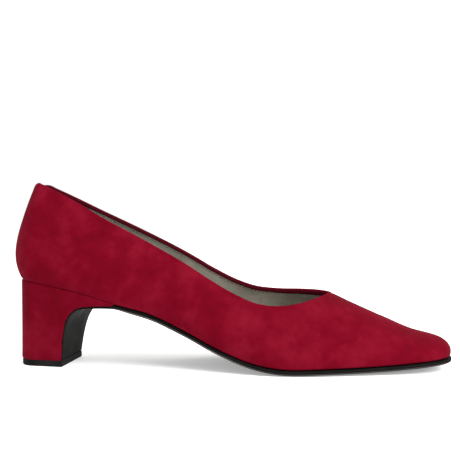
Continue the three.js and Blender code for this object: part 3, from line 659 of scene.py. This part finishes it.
def fold_points(at, out, away):
    """The suede turned over the edge: flat on the outside for 2 mm, a rounded rim 3.7 mm thick
    and a narrow band 0.9 mm deep inside, all a little uneven along the edge."""
    run = run_along(at)
    tight = 1 + 0.05 * np.sin(run / 3.1) + 0.05 * np.sin(run / 7.7 + 1)
    offset = np.where(FOLD[:, 0] > -0.4, FOLD[:, 0] * tight[:, None], FOLD[:, 0])
    wavy = 0.12 * (np.sin(run / 5.3) * np.sin(run / 13.7))[:, None]
    depth = FOLD[:, 1] + wavy * (FOLD[:, 1] > 1.2)
    p = at[:, None] + out[:, None] * offset[..., None] + away[:, None] * depth[..., None]
    return p[:-1]


at, along, out, away = edge_frames(420)
bead = fold_points(at, out, away)
# painted shade on the inner side of the turned edge: none within 0.5 mm of the skin, full from 1.8
# mm in
painted_fold_shade = np.broadcast_to(np.interp(-FOLD[:, 0], [0.5, 1.8], [0, 1]), bead.shape[:2])
finish(tube("turned_topline", bead, {"painted_fold_shade": painted_fold_shade}, close_path=True, sharp=70),
       SUEDE_FOLD, "fold", "topline_fold")


# ---- stitches --------------------------------------------------------------------------------
SIDES = 6
THREAD_IN, THREAD_DOWN = 3.2, 2.1  # the row lies in the lining, just under the turned edge


def stitches(name, at, along, out, length, gap, radius):
    """A row of thread stitches along a line: each is a small spindle of 6 by 5 faces, a little
    slanted, with its ends sunk in the leather."""
    run = run_along(at)
    middle = np.arange(length, run[-1] - length / 2, length + gap)

    def along_path(v):
        return np.stack([np.interp(middle, run, v[:, i]) for i in range(3)], -1)

    c, d, n = along_path(at), unit(along_path(along)), unit(along_path(out))
    across = unit(np.cross(n, d))
    slant = 0.10 * np.sin(middle * 2.1)[:, None]
    d = unit(d + across * (0.14 + slant))
    across = unit(np.cross(n, d))
    rings = np.array([-1, -0.82, -0.4, 0.4, 0.82, 1.0])
    thick = np.array([0.0, 0.72, 1.0, 1.0, 0.72, 0.0])
    sink = np.array([-0.9, -0.45, 0.15, 0.15, -0.45, -0.9])
    turn = np.arange(SIDES) * math.pi / (SIDES / 2)
    lift = sink[:, None] + thick[:, None] * np.sin(turn)
    p = (c[:, None, None] + d[:, None, None] * (rings * length / 2)[None, :, None, None]
         + n[:, None, None] * lift[None, :, :, None] * radius
         + across[:, None, None] * (thick[:, None] * np.cos(turn))[None, :, :, None] * radius)
    one = cells(len(rings), SIDES, False, True).reshape(-1, 4)
    faces = (one[None] + (np.arange(len(c)) * p[0, ..., 0].size)[:, None, None]).reshape(-1, 4)
    return build(name, p, faces, sharp=80)


thread_line = at - out * THREAD_IN + away * THREAD_DOWN
finish(stitches("topline_stitches", thread_line, along, -out, 1.9, 0.7, 0.22),
       THREAD, "thread", "topline_thread")


# ---- linings ---------------------------------------------------------------------------------
LINING_DROP, LINING_START = 0.75, 2.6
LINING_INNER, LINING_OUTER = 3.1, 2.45  # how far its faces lie inside the last's surface
LINING_ROWS = 46
GRIP_X, VAMP_SEAM_X, SEAM, OVERLAP = 44.0, 150.0, 0.12, 1.5


def lining_points(path, lift):
    """One leather lining piece: inner face and outer face 0.65 mm apart, from under the sock to
    under the turned edge. A piece that laps over its neighbour is lifted off it."""
    t, side = path
    low_q, high_q = height_q(t, LINING_START), edge_q(t, side, LINING_DROP)
    rows = np.linspace(0, 1, LINING_ROWS)
    q = low_q[:, None] + (high_q - low_q)[:, None] * rows
    T, S = t[:, None] + 0 * q, side[:, None] + 0 * q
    p = skin(T, q, S)
    ripple = 0.10 * waves(p, 23, 8) + 0.05 * waves(p, 9, 9)
    inner = p + skin_normal(T, q, S) * (-LINING_INNER - lift + ripple)[..., None]
    back = q[:, ::-3]
    outer = layer(t[:, None], back, side[:, None], -LINING_OUTER)
    closed = high_q >= 1
    skip = np.zeros((len(t), LINING_ROWS + back.shape[1]), bool)[:-1]
    skip[:, LINING_ROWS - 1] = closed[:-1] & closed[1:]
    return np.concatenate((inner, outer), axis=1), skip


def capped(points, skip):
    """Closes both ends of a strip by drawing each end section together into its own middle line."""
    n = points.shape[1]
    inner = LINING_ROWS
    match = np.round(np.linspace(inner - 1, 0, n - inner)).astype(int)

    def middle_line(section):
        out_side = section[inner:]
        line = section.copy()
        line[inner:] = (section[match] + out_side) / 2
        back = np.interp(np.arange(inner), match[::-1], np.arange(n - inner)[::-1])
        whole = np.floor(back).astype(int)
        part = (back - whole)[:, None]
        after = np.minimum(whole + 1, n - inner - 1)
        follow = out_side[whole] * (1 - part) + out_side[after] * part
        line[:inner] = (section[:inner] + follow) / 2
        return line

    points = np.concatenate((middle_line(points[0])[None], points, middle_line(points[-1])[None]))
    none = np.zeros((1, n), bool)
    return points, np.concatenate((none, skip, none))


def lining_piece(name, path, node_name, lift=0.0, paint=LINING):
    points, skip = capped(*lining_points(path, lift))
    finish(tube(name, points, skip=skip, sharp=60), paint, "lining", node_name)


grip_t = stations(60, end=station_at(GRIP_X + SEAM))
vamp_drop = station_at(throat_x(LINING_DROP))
lining_piece("lining_heel_grip_leather", loop(grip_t), "lining_heel_grip", SEAM, GRIP)
quarter_t = stations(110, station_at(GRIP_X - OVERLAP), station_at(VAMP_SEAM_X + OVERLAP))
lining_piece("lining_outer_quarter_leather", (quarter_t, -np.ones_like(quarter_t)),
             "lining_quarter_lateral")
lining_piece("lining_inner_quarter_leather", (quarter_t, np.ones_like(quarter_t)),
             "lining_quarter_medial")
vamp_t = stations(190, station_at(VAMP_SEAM_X), 1.0, must=(vamp_drop,))
lining_piece("lining_vamp_leather", round_toe(vamp_t), "lining_vamp", SEAM)


SEAM_POINTS, SEAM_TOP, SEAM_BOTTOM, SEAM_DEPTH = 80, 3.8, 7.5, 3.3


def seam_row(name, x, back):
    """Stitches across the lining where two pieces meet, on both sides of the foot."""
    for word, side in (("outer", -1.0), ("inner", 1.0)):
        t, s = np.full(SEAM_POINTS, station_at(x)), np.full(SEAM_POINTS, side)
        top, bottom = edge_q(t, s, SEAM_TOP), height_q(t, SEAM_BOTTOM)
        q = bottom + (top - bottom) * np.linspace(0, 1, SEAM_POINTS)
        p = layer(t + back / RUN, q, s, -SEAM_DEPTH)
        along = unit(np.gradient(p, axis=0))
        row = stitches(f"{name}_{word}", p, along, -skin_normal(t, q, s), 1.7, 0.7, 0.2)
        finish(row, THREAD, "thread")


seam_row("heel_grip_seam", GRIP_X, -1.3)
seam_row("vamp_lining_seam", VAMP_SEAM_X, 1.3)


# ---- sock ------------------------------------------------------------------------------------
SOCK_THICK, BED, PAD_SHOWS = 0.8, 5.7, 0.35
HEEL_PAD_END, FORE_PAD_START, FORE_PAD_END, PAD_SLOPE = 92, 128, 224, 2.2


def step_down(value, place, slope):
    """Falls smoothly from 1 to 0 as the value passes the place."""
    return 1 / (1 + np.exp((value - place) / slope))


def sock_points():
    """The sock laid in the shoe: from its edge, close to the lining and curled up a little, to the
    middle line, with the outlines of the two pads showing through. A gap of about a millimetre is
    left round the heel end, where the edge stands up."""
    t, side = loop(stations(240))
    x = plan(t)[0]
    heel = np.clip((60 - x) / 45, 0, 1)
    q = height_q(t, 6.4 + 1.2 * heel)
    gap = 0.25 + 1.0 * heel + 0.08 * np.sin(x / 4.0 + side)
    edge = layer(t, q, side, -(3.2 + gap))
    middle = spine_points(t)
    r = np.concatenate((np.linspace(0, 0.12, 9), np.linspace(0.15, 1, 30)))

    def face(reach, lift):
        xy = edge[:, None, :2] + (middle - edge[:, :2])[:, None] * reach[None, :, None]
        xy = np.where(reach[None, :, None] >= 1, middle[:, None], xy)
        px, py = xy[..., 0], xy[..., 1]
        bed = feather_z(px) + BED
        wide = np.abs(py - centre_y(px)) / half_width(px)
        pad = (PAD_SHOWS * step_down(px, HEEL_PAD_END, PAD_SLOPE) * step_down(wide, 0.72, 0.04)
               + PAD_SHOWS * step_down(-px, -FORE_PAD_START, PAD_SLOPE)
               * step_down(px, FORE_PAD_END, PAD_SLOPE) * step_down(wide, 0.74, 0.04))
        curl = edge[:, None, 2] - feather_z(edge[:, None, 0]) - BED
        curl = curl * np.exp(-((reach / 0.09) ** 1.4))[None]
        dent = 0.22 * waves(np.stack((px, py, 0 * px), -1), 37, 21)
        z = bed + pad + curl + dent * np.clip(reach * 5, 0, 1)[None] + lift
        return np.concatenate((xy, z[..., None]), -1)

    top = face(r, 0.0)
    bottom = face(r[::-2], -SOCK_THICK)
    side_round = top[:, :1].copy()
    side_round[:, 0, 2] -= SOCK_THICK / 2
    side_round[:, 0, :2] += plan_normal(t, side) * 0.12
    ring = np.concatenate((side_round, top, bottom), axis=1)
    skip = np.zeros(ring.shape[:2], bool)[:-1]
    skip[:, len(r)] = True
    return ring, skip


ring, skip = sock_points()
finish(tube("sock_leather", ring, skip=skip, sharp=70), SOCK, "sock", "sock_lining")


# ---- heel ------------------------------------------------------------------------------------
BASE_END_X, TOP_PIECE_END_X = 36.2, 37.3
HEEL_INSET, HEEL_EDGE_ROUND, HEEL_SUEDE = 0.4, 0.5, 0.8
# place along the seat for a line that starts so far up the heel's front edge
LEAN = [(0, 37.1), (5.8, 38.3), (13.8, 40.4), (20.4, 43.5), (25.9, 47), (30.3, 50),
        (34.7, 53.5), (39.7, 57.5), (47.7, 63.5), (55.7, 70.5)]


def heel_base(t, side):
    """Outline of the heel's foot at station t."""
    run = np.asarray(t, float) * RUN
    x, _, _ = plan(t)
    a = np.clip(1 - run / HEEL_ARC, 0, 1) * TURN
    cosine = np.where(a >= TURN, 0, np.abs(np.cos(a)))
    back_x = HEEL_CAP_X - (HEEL_CAP_X - HEEL_BASE_BACK_X) * np.sin(a) ** (2 / HEEL_BASE_ROUND)
    bx = np.where(run < HEEL_ARC, back_x, x)
    spread = np.where(run < HEEL_ARC, cosine ** (2 / HEEL_BASE_ROUND), 1)
    half = HEEL_BASE_HALF + np.maximum(0, (x - HEEL_CAP_X) * HEEL_BASE_FLARE) * (run >= HEEL_ARC)
    return np.stack((bx, HEEL_BASE_Y + side * half * spread), -1)


def heel_point(t, side, z, inset):
    """The heel's outside at a height: its foot grows evenly into the seat."""
    x = plan(t)[0]
    top = feather_z(x) - 0.3
    share = np.clip((z - BLOCK_Z) / (top - BLOCK_Z), 0, 1) ** HEEL_GROW_POWER
    xy = heel_base(t, side) * (1 - share)[..., None] + footprint(t, side) * share[..., None]
    xy = xy - plan_normal(t, side) * (np.asarray(inset, float) + HEEL_INSET * share)[..., None]
    return np.concatenate((xy, z[..., None]), -1)


def breast_curve(count):
    """Points down the front of the heel, evenly spaced on a smooth curve through its corners."""
    chord = np.linalg.norm(np.diff(BREAST, axis=0), axis=1)
    step = np.concatenate(((0,), np.cumsum(np.sqrt(chord))))
    fx = profile(np.stack((step, BREAST[:, 0]), 1))
    fz = profile(np.stack((step, BREAST[:, 1]), 1))
    u = np.linspace(0, step[-1], 800)
    p = np.stack((fx(u), fz(u)), 1)
    run = run_along(p)
    at = np.linspace(0, run[-1], count)
    return np.stack((np.interp(at, run, p[:, 0]), np.interp(at, run, p[:, 1])), 1)


def heel_points():
    """Suede pulled round the heel block: lines fan out from the foot and the front edge up to the
    seat. All edges are rounded in by half a millimetre and turned 2.5 mm under."""
    breast = breast_curve(300)
    breast = breast[breast[:, 1] > BLOCK_Z - 0.01]
    base_t = stations(110, end=station_at(BASE_END_X))
    starts, foot_z = breast[::3], BLOCK_Z - 0.25
    tb = np.concatenate((base_t, station_at(starts[:, 0])))
    zb = np.concatenate((np.full(len(base_t), foot_z), np.maximum(starts[:, 1], foot_z)))
    run = np.concatenate(((0,), np.cumsum(np.hypot(np.diff(tb) * RUN, np.diff(zb)))))
    up = np.maximum(run - run[len(base_t) - 1], 0)
    shift = station_at(LEAN[0][1]) - station_at(BASE_END_X)
    place = np.where(up > 0, station_at(profile(LEAN)(up * LEAN[-1][0] / up[-1])),
                     tb + shift * tb / tb[len(base_t) - 1])
    zt = feather_z(plan(place)[0]) - 0.12
    v = np.linspace(0, 1, 64)
    T = tb[:, None] + (place - tb)[:, None] * v
    Z = zb[:, None] + (zt - zb)[:, None] * v
    height = (zt - zb)[:, None]
    r = HEEL_EDGE_ROUND

    def rounding(d):
        d = np.clip(d, 0, r)
        return r - np.sqrt(np.maximum(r * r - (r - d) ** 2, 0))

    X = plan(T)[0]
    apart = (X[..., None] - breast[:, 0]) ** 2 + (Z[..., None] - breast[:, 1]) ** 2
    from_front = np.sqrt(apart.min(axis=-1))
    from_front = np.where(Z < breast[0, 1] + r, np.minimum(from_front, Z - Z.min()), from_front)
    inset = np.minimum(rounding(from_front) + rounding((1 - v) * height), r)

    def hidden_rows(p, k, side):
        """Rows beyond an edge, drawn inward so the cut edge is hidden."""
        n = plan_normal(T[:, k], side + 0 * T[:, k])
        n = np.concatenate((n, np.zeros((len(T), 1))), 1)
        return [(p[:, k] - n * depth)[:, None] for depth in (1.0, 2.5)]

    halves = []
    for side in (-1.0, 1.0):
        p = heel_point(T, side + 0 * T, Z, inset)
        foot_rows, seat_rows = hidden_rows(p, 0, side), hidden_rows(p, -1, side)
        halves.append(np.concatenate((*foot_rows[::-1], p, *seat_rows), axis=1))
    return np.concatenate((halves[0][::-1], halves[1][1:]))


def sheet(name, points, thickness):
    """An open grid given a thickness inward, with its rim closed."""
    faces = cells(*points.shape[:2]).reshape(-1, 4)
    piece = new_piece(name, points.reshape(-1, 3), faces.tolist(), 50)
    solid = piece.modifiers.new("thickness", "SOLIDIFY")
    solid.thickness = thickness * MM
    solid.offset = -1
    return piece


finish(sheet("heel_suede_cover", heel_points(), HEEL_SUEDE), SUEDE_RED, "suede", "heel_cover")


# ---- top piece -------------------------------------------------------------------------------
TOP_PIECE_THICK, RIB_DEPTH, RIB_PITCH = 3.9, 0.28, 3.2
# edge of the lift from its underside to its upper face: out from the outline, height
LIFT_EDGE = np.array([
    (-1.4, 0.0), (-0.5, 0.0), (0.0, 0.05), (0.25, 0.22), (0.38, 0.5), (0.42, 1.0), (0.42, 2.9),
    (0.38, 3.5), (0.2, 3.78), (-0.3, 3.88), (-1.2, TOP_PIECE_THICK)])


def top_piece_points():
    """A rubber lift with worn round edges and shallow slanting ribs underneath."""
    t = stations(40, end=station_at(TOP_PIECE_END_X))
    lateral, medial = heel_base(t[::-1], -1 + 0 * t), heel_base(t[1:], 1 + 0 * t[1:])
    line = np.concatenate((lateral, medial))
    front = np.linspace(line[-1], line[0], 18)[1:-1]
    line = np.concatenate((line, front))
    for _ in range(3):
        ahead = np.roll(line, -1, axis=0)
        line = np.stack((0.75 * line + 0.25 * ahead, 0.25 * line + 0.75 * ahead), 1).reshape(-1, 2)
    tangent = unit(np.roll(line, -1, axis=0) - np.roll(line, 1, axis=0))
    out = np.stack((-tangent[:, 1], tangent[:, 0]), -1)
    middle = line.mean(axis=0)
    if ((line - middle) * out).sum() < 0:
        out = -out
    shape = LIFT_EDGE
    wall = np.concatenate((line[:, None] + out[:, None] * shape[None, :, :1],
                           np.broadcast_to(shape[None, :, 1:], (len(line), len(shape), 1))), -1)
    share = np.linspace(1, 0, 26)[:-1]
    inner_low = line + out * shape[0, 0]
    low = middle + (inner_low - middle)[:, None] * (1 - share)[None, :, None]
    slanting = low[..., 0] + 0.6 * low[..., 1]
    ribs = RIB_DEPTH * np.clip(np.sin(slanting * 2 * math.pi / RIB_PITCH) + 0.2, 0, 1)
    ribs = ribs * np.clip(share * 8, 0, 1)[None]
    low = np.concatenate((low, ribs[..., None]), -1)
    low[:, 0, :] = (*middle, 0.0)
    inner_top = line + out * shape[-1, 0]
    high = middle + (inner_top - middle)[:, None] * np.array([0.5, 0.0])[None, :, None]
    high = np.concatenate((high, np.full((*high.shape[:2], 1), TOP_PIECE_THICK)), -1)
    return np.concatenate((low, wall, high), axis=1)


grid = top_piece_points()
faces = cells(*grid.shape[:2], close_rows=True).reshape(-1, 4)
finish(build("top_piece_lift", grid, faces, sharp=40), TOP_RUBBER, "sole", "top_piece")


# ---- outsole ---------------------------------------------------------------------------------
# edge of the sole from below: out from the outline, share of the thickness
EDGE_DEPTH = 2.2
SOLE_EDGE = np.array([
    (-EDGE_DEPTH, 0.0), (-1.0, 0.01), (-0.45, 0.05), (-0.12, 0.14), (0.0, 0.24), (-0.02, 0.36),
    (-0.12, 0.43), (-0.42, 0.47), (-0.42, 0.53), (-0.12, 0.57), (-0.02, 0.63), (0.0, 0.74),
    (-0.1, 0.86), (-0.4, 0.95), (-1.0, 0.99), (-EDGE_DEPTH, 1.0)])
SOLE_GAP, NOTCH, NOTCH_PITCH = 0.3, 0.07, 1.25
FLAP_THICK, FLAP_TOP_THICK = 1.0, 2.1
JOIN_START, JOIN_END, JOIN_ROUNDS = 90, 116, 24  # the columns where the flap runs into the sole
SOLE_INSIDE = [1.0, 0.8, 0.6, 0.42, 0.26]
SOLE_ROWS = ([("in", r, 0.0) for r in SOLE_INSIDE] + [("edge", a, b) for a, b in SOLE_EDGE]
             + [("in", r, 1.0) for r in SOLE_INSIDE[::-1]])


def sole_side(side, count):
    """One side of the sole as columns from the lower end of the breast flap up, forward under the
    waist and round to the toe: the middle line, the underside, the edge and the upper face."""
    breast = breast_curve(110)[8:]
    tangent = unit(np.gradient(breast, axis=0))
    u = np.linspace(0.06, 1, len(breast))
    thick = FLAP_THICK + (FLAP_TOP_THICK - FLAP_THICK) * u ** 2
    normal = np.stack((tangent[:, 1], -tangent[:, 0]), -1)
    bt = station_at(breast[:, 0])
    wide = heel_point(bt, side + 0 * bt, breast[:, 1], 0 * bt)[:, 1] + side * u ** 3 * -0.7
    grown = np.clip((breast[:, 1] - BLOCK_Z) / 33, 0, 1) ** HEEL_GROW_POWER
    flap_mid = HEEL_BASE_Y + (centre_y(breast[:, 0]) - HEEL_BASE_Y) * grown
    t = stations(count, start=station_at(HEEL_TOP_X + 1.5))
    foot, n, middle = footprint(t, side), plan_normal(t, side), spine_points(t)
    notch = NOTCH * np.sin(run_along(foot) * 2 * math.pi / NOTCH_PITCH)
    notch = notch * np.clip((foot[:, 0] - 140) / 15, 0, 1)
    columns = []
    for kind, a, b in SOLE_ROWS:
        if kind == "in":
            xy = middle if a == 1.0 else foot + (middle - foot) * a
        else:
            out = sole_lip(foot[:, 0]) + a + (notch if 0.55 < b < 0.9 else 0)
            xy = (foot + n * np.maximum(out, 0)[:, None]
                  + unit(middle - foot) * -np.minimum(out, 0)[:, None])
        z = feather_z(xy[:, 0]) - SOLE_GAP - sole_taper(xy[:, 0]) * (1 - b)
        sole = np.concatenate((xy, z[:, None]), 1)
        xz = breast + normal * (SOLE_GAP + thick * (1 - b))[:, None]
        if kind == "in":
            y = wide + (flap_mid - wide) * a
        else:
            y = wide + side * np.clip(a, -EDGE_DEPTH, 0) * np.linspace(0.5, 1, len(wide))
        flap = np.stack((xz[:, 0], y, xz[:, 1]), -1)
        columns.append(np.concatenate((flap[:-4], sole)))
    ring = np.stack(columns, axis=1)
    low_end = ring[:1].copy()
    half = ring.shape[1] // 2
    centre = (low_end[:, :half] + low_end[:, ::-1][:, :half]) / 2
    low_end[:, :half] = centre
    low_end[:, ::-1][:, :half] = centre
    low_end[..., 2] -= 0.3
    return np.concatenate((low_end, ring))


def evened(p):
    """Evens out the columns where the flap runs into the sole."""
    a, b = JOIN_START, JOIN_END
    for _ in range(JOIN_ROUNDS):
        p[a:b] = 0.25 * p[a - 1:b - 1] + 0.5 * p[a:b] + 0.25 * p[a + 1:b + 1]
    return p


lateral = evened(sole_side(-1.0, 420))
medial = evened(sole_side(1.0, 420))
both_sides = np.concatenate((lateral, medial[:-1][::-1]))
faces = cells(*both_sides.shape[:2]).reshape(-1, 4)
# painted highlight on the lower part of the edge, where its rounding faces the white floor, most of
# all under the waist
edge_highlight = np.interp([b for _, _, b in SOLE_ROWS], [0.02, 0.1, 0.36, 0.44], [0, 1, 1, 0])
edge_highlight = edge_highlight * np.interp(both_sides[..., 0], [66, 78, 130, 155], [0, 1, 1, 0.4])
finish(build("sole_with_breast_flap", both_sides, faces, {"painted_edge_highlight": edge_highlight}, 55),
       SOLE, "sole", "outsole")


# ---- hidden layers keep their own shape ------------------------------------------------------
KEPT = {
    "board": ["insole_board_back", "insole_board_fore"],
    "stiffener": ["heel_counter", "toe_puff", "vamp_backing"],
    "foam": ["heel_pad", "forefoot_pad"],
    "steel": ["steel_shank", "shank_rivet_1", "shank_rivet_2", "top_piece_pin_1",
              "top_piece_pin_2", "heel_screw", *(f"heel_nail_{i}" for i in range(1, 7))],
    "cork": ["bottom_filler"],
    "plastic": ["heel_core"],
}
for stuff, names in KEPT.items():
    for name in names:
        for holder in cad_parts[name].material_slots:
            holder.material = HIDDEN[stuff]


# ---- floor, light and camera -----------------------------------------------------------------
FLOOR_SPOKES, FLOOR_RINGS, FLOOR_REACH = 48, 15, 8.0


def studio():
    """A white paper floor: rings round the shoe, 8 m out to the edge."""
    turn = np.linspace(0, 2 * math.pi, FLOOR_SPOKES, endpoint=False)
    ring = np.concatenate(((0.0,), np.geomspace(0.1, FLOOR_REACH, FLOOR_RINGS - 1)))
    grid = np.stack(np.broadcast_arrays(
        np.cos(turn)[:, None] * ring, np.sin(turn)[:, None] * ring, 0.0), -1)
    flat, place = np.unique(np.round(grid.reshape(-1, 3), 6), axis=0, return_inverse=True)
    corners = cells(FLOOR_SPOKES, FLOOR_RINGS, close_rows=True).reshape(-1, 4)
    quads = place.reshape(-1)[corners]
    mesh = bpy.data.meshes.new("studio_floor")
    mesh.from_pydata(flat.tolist(), [], [list(dict.fromkeys(q)) for q in quads.tolist()])
    mesh.update()
    floor = bpy.data.objects.new("studio_floor", mesh)
    bpy.context.scene.collection.objects.link(floor)
    m = new_tree("white_paper_floor")
    grain = speckle(m["tree"], 2.0, 2, 0.5)
    colour = ramp(m["tree"], grain, [(0.3, "#f6f6f5"), (0.7, "#fafaf9")])
    mesh.materials.append(material(m, colour, None, 0.95, Specular_IOR_Level=0.1,
                                   Emission_Color=(1, 1, 1, 1), Emission_Strength=0.3))


def area_light(name, place, aim, size, power):
    """A square white soft box of a size in metres and a power in watts, aimed at a point."""
    light = bpy.data.lights.new(name, "AREA")
    light.shape, light.size, light.energy = "SQUARE", size, power
    lamp = bpy.data.objects.new(name, light)
    way = np.array(place, float) - np.array(aim, float)
    lamp.location = place
    tilt = math.acos(way[2] / np.linalg.norm(way))
    lamp.rotation_euler = (tilt, 0, math.atan2(way[1], way[0]) + TURN)
    bpy.context.scene.collection.objects.link(lamp)


studio()
area_light("soft_box_over", (0.15, -0.4, 1.5), (0, 0, 0), 1.2, 6)
area_light("soft_box_right", (1.3, -0.8, 0.9), (0.1, 0, 0.03), 0.9, 34)
area_light("soft_box_back", (0.6, 1.0, 1.1), (0, 0, 0.05), 0.9, 5)
world = bpy.data.worlds.new("studio_air")
bpy.context.scene.world = world
world.use_nodes = True
air = world.node_tree.nodes["Background"].inputs
air["Color"].default_value = (1, 1, 1, 1)
air["Strength"].default_value = 1.02

CAMERA_X, CAMERA_Y, CAMERA_Z, CAMERA_TURN = 184.65, -429.14, 80.44, 6.69
view = bpy.data.cameras.new("photographer")
view.lens, view.sensor_width, view.clip_start = 56.35, 36, 0.02
camera = bpy.data.objects.new("photographer", view)
camera.location = ((CAMERA_X + ZERO[0]) * MM, (CAMERA_Y + ZERO[1]) * MM, CAMERA_Z * MM)
camera.rotation_euler = (TURN, 0, math.radians(CAMERA_TURN))
bpy.context.scene.collection.objects.link(camera)
bpy.context.scene.camera = camera
bpy.context.scene.view_settings.view_transform = "Standard"
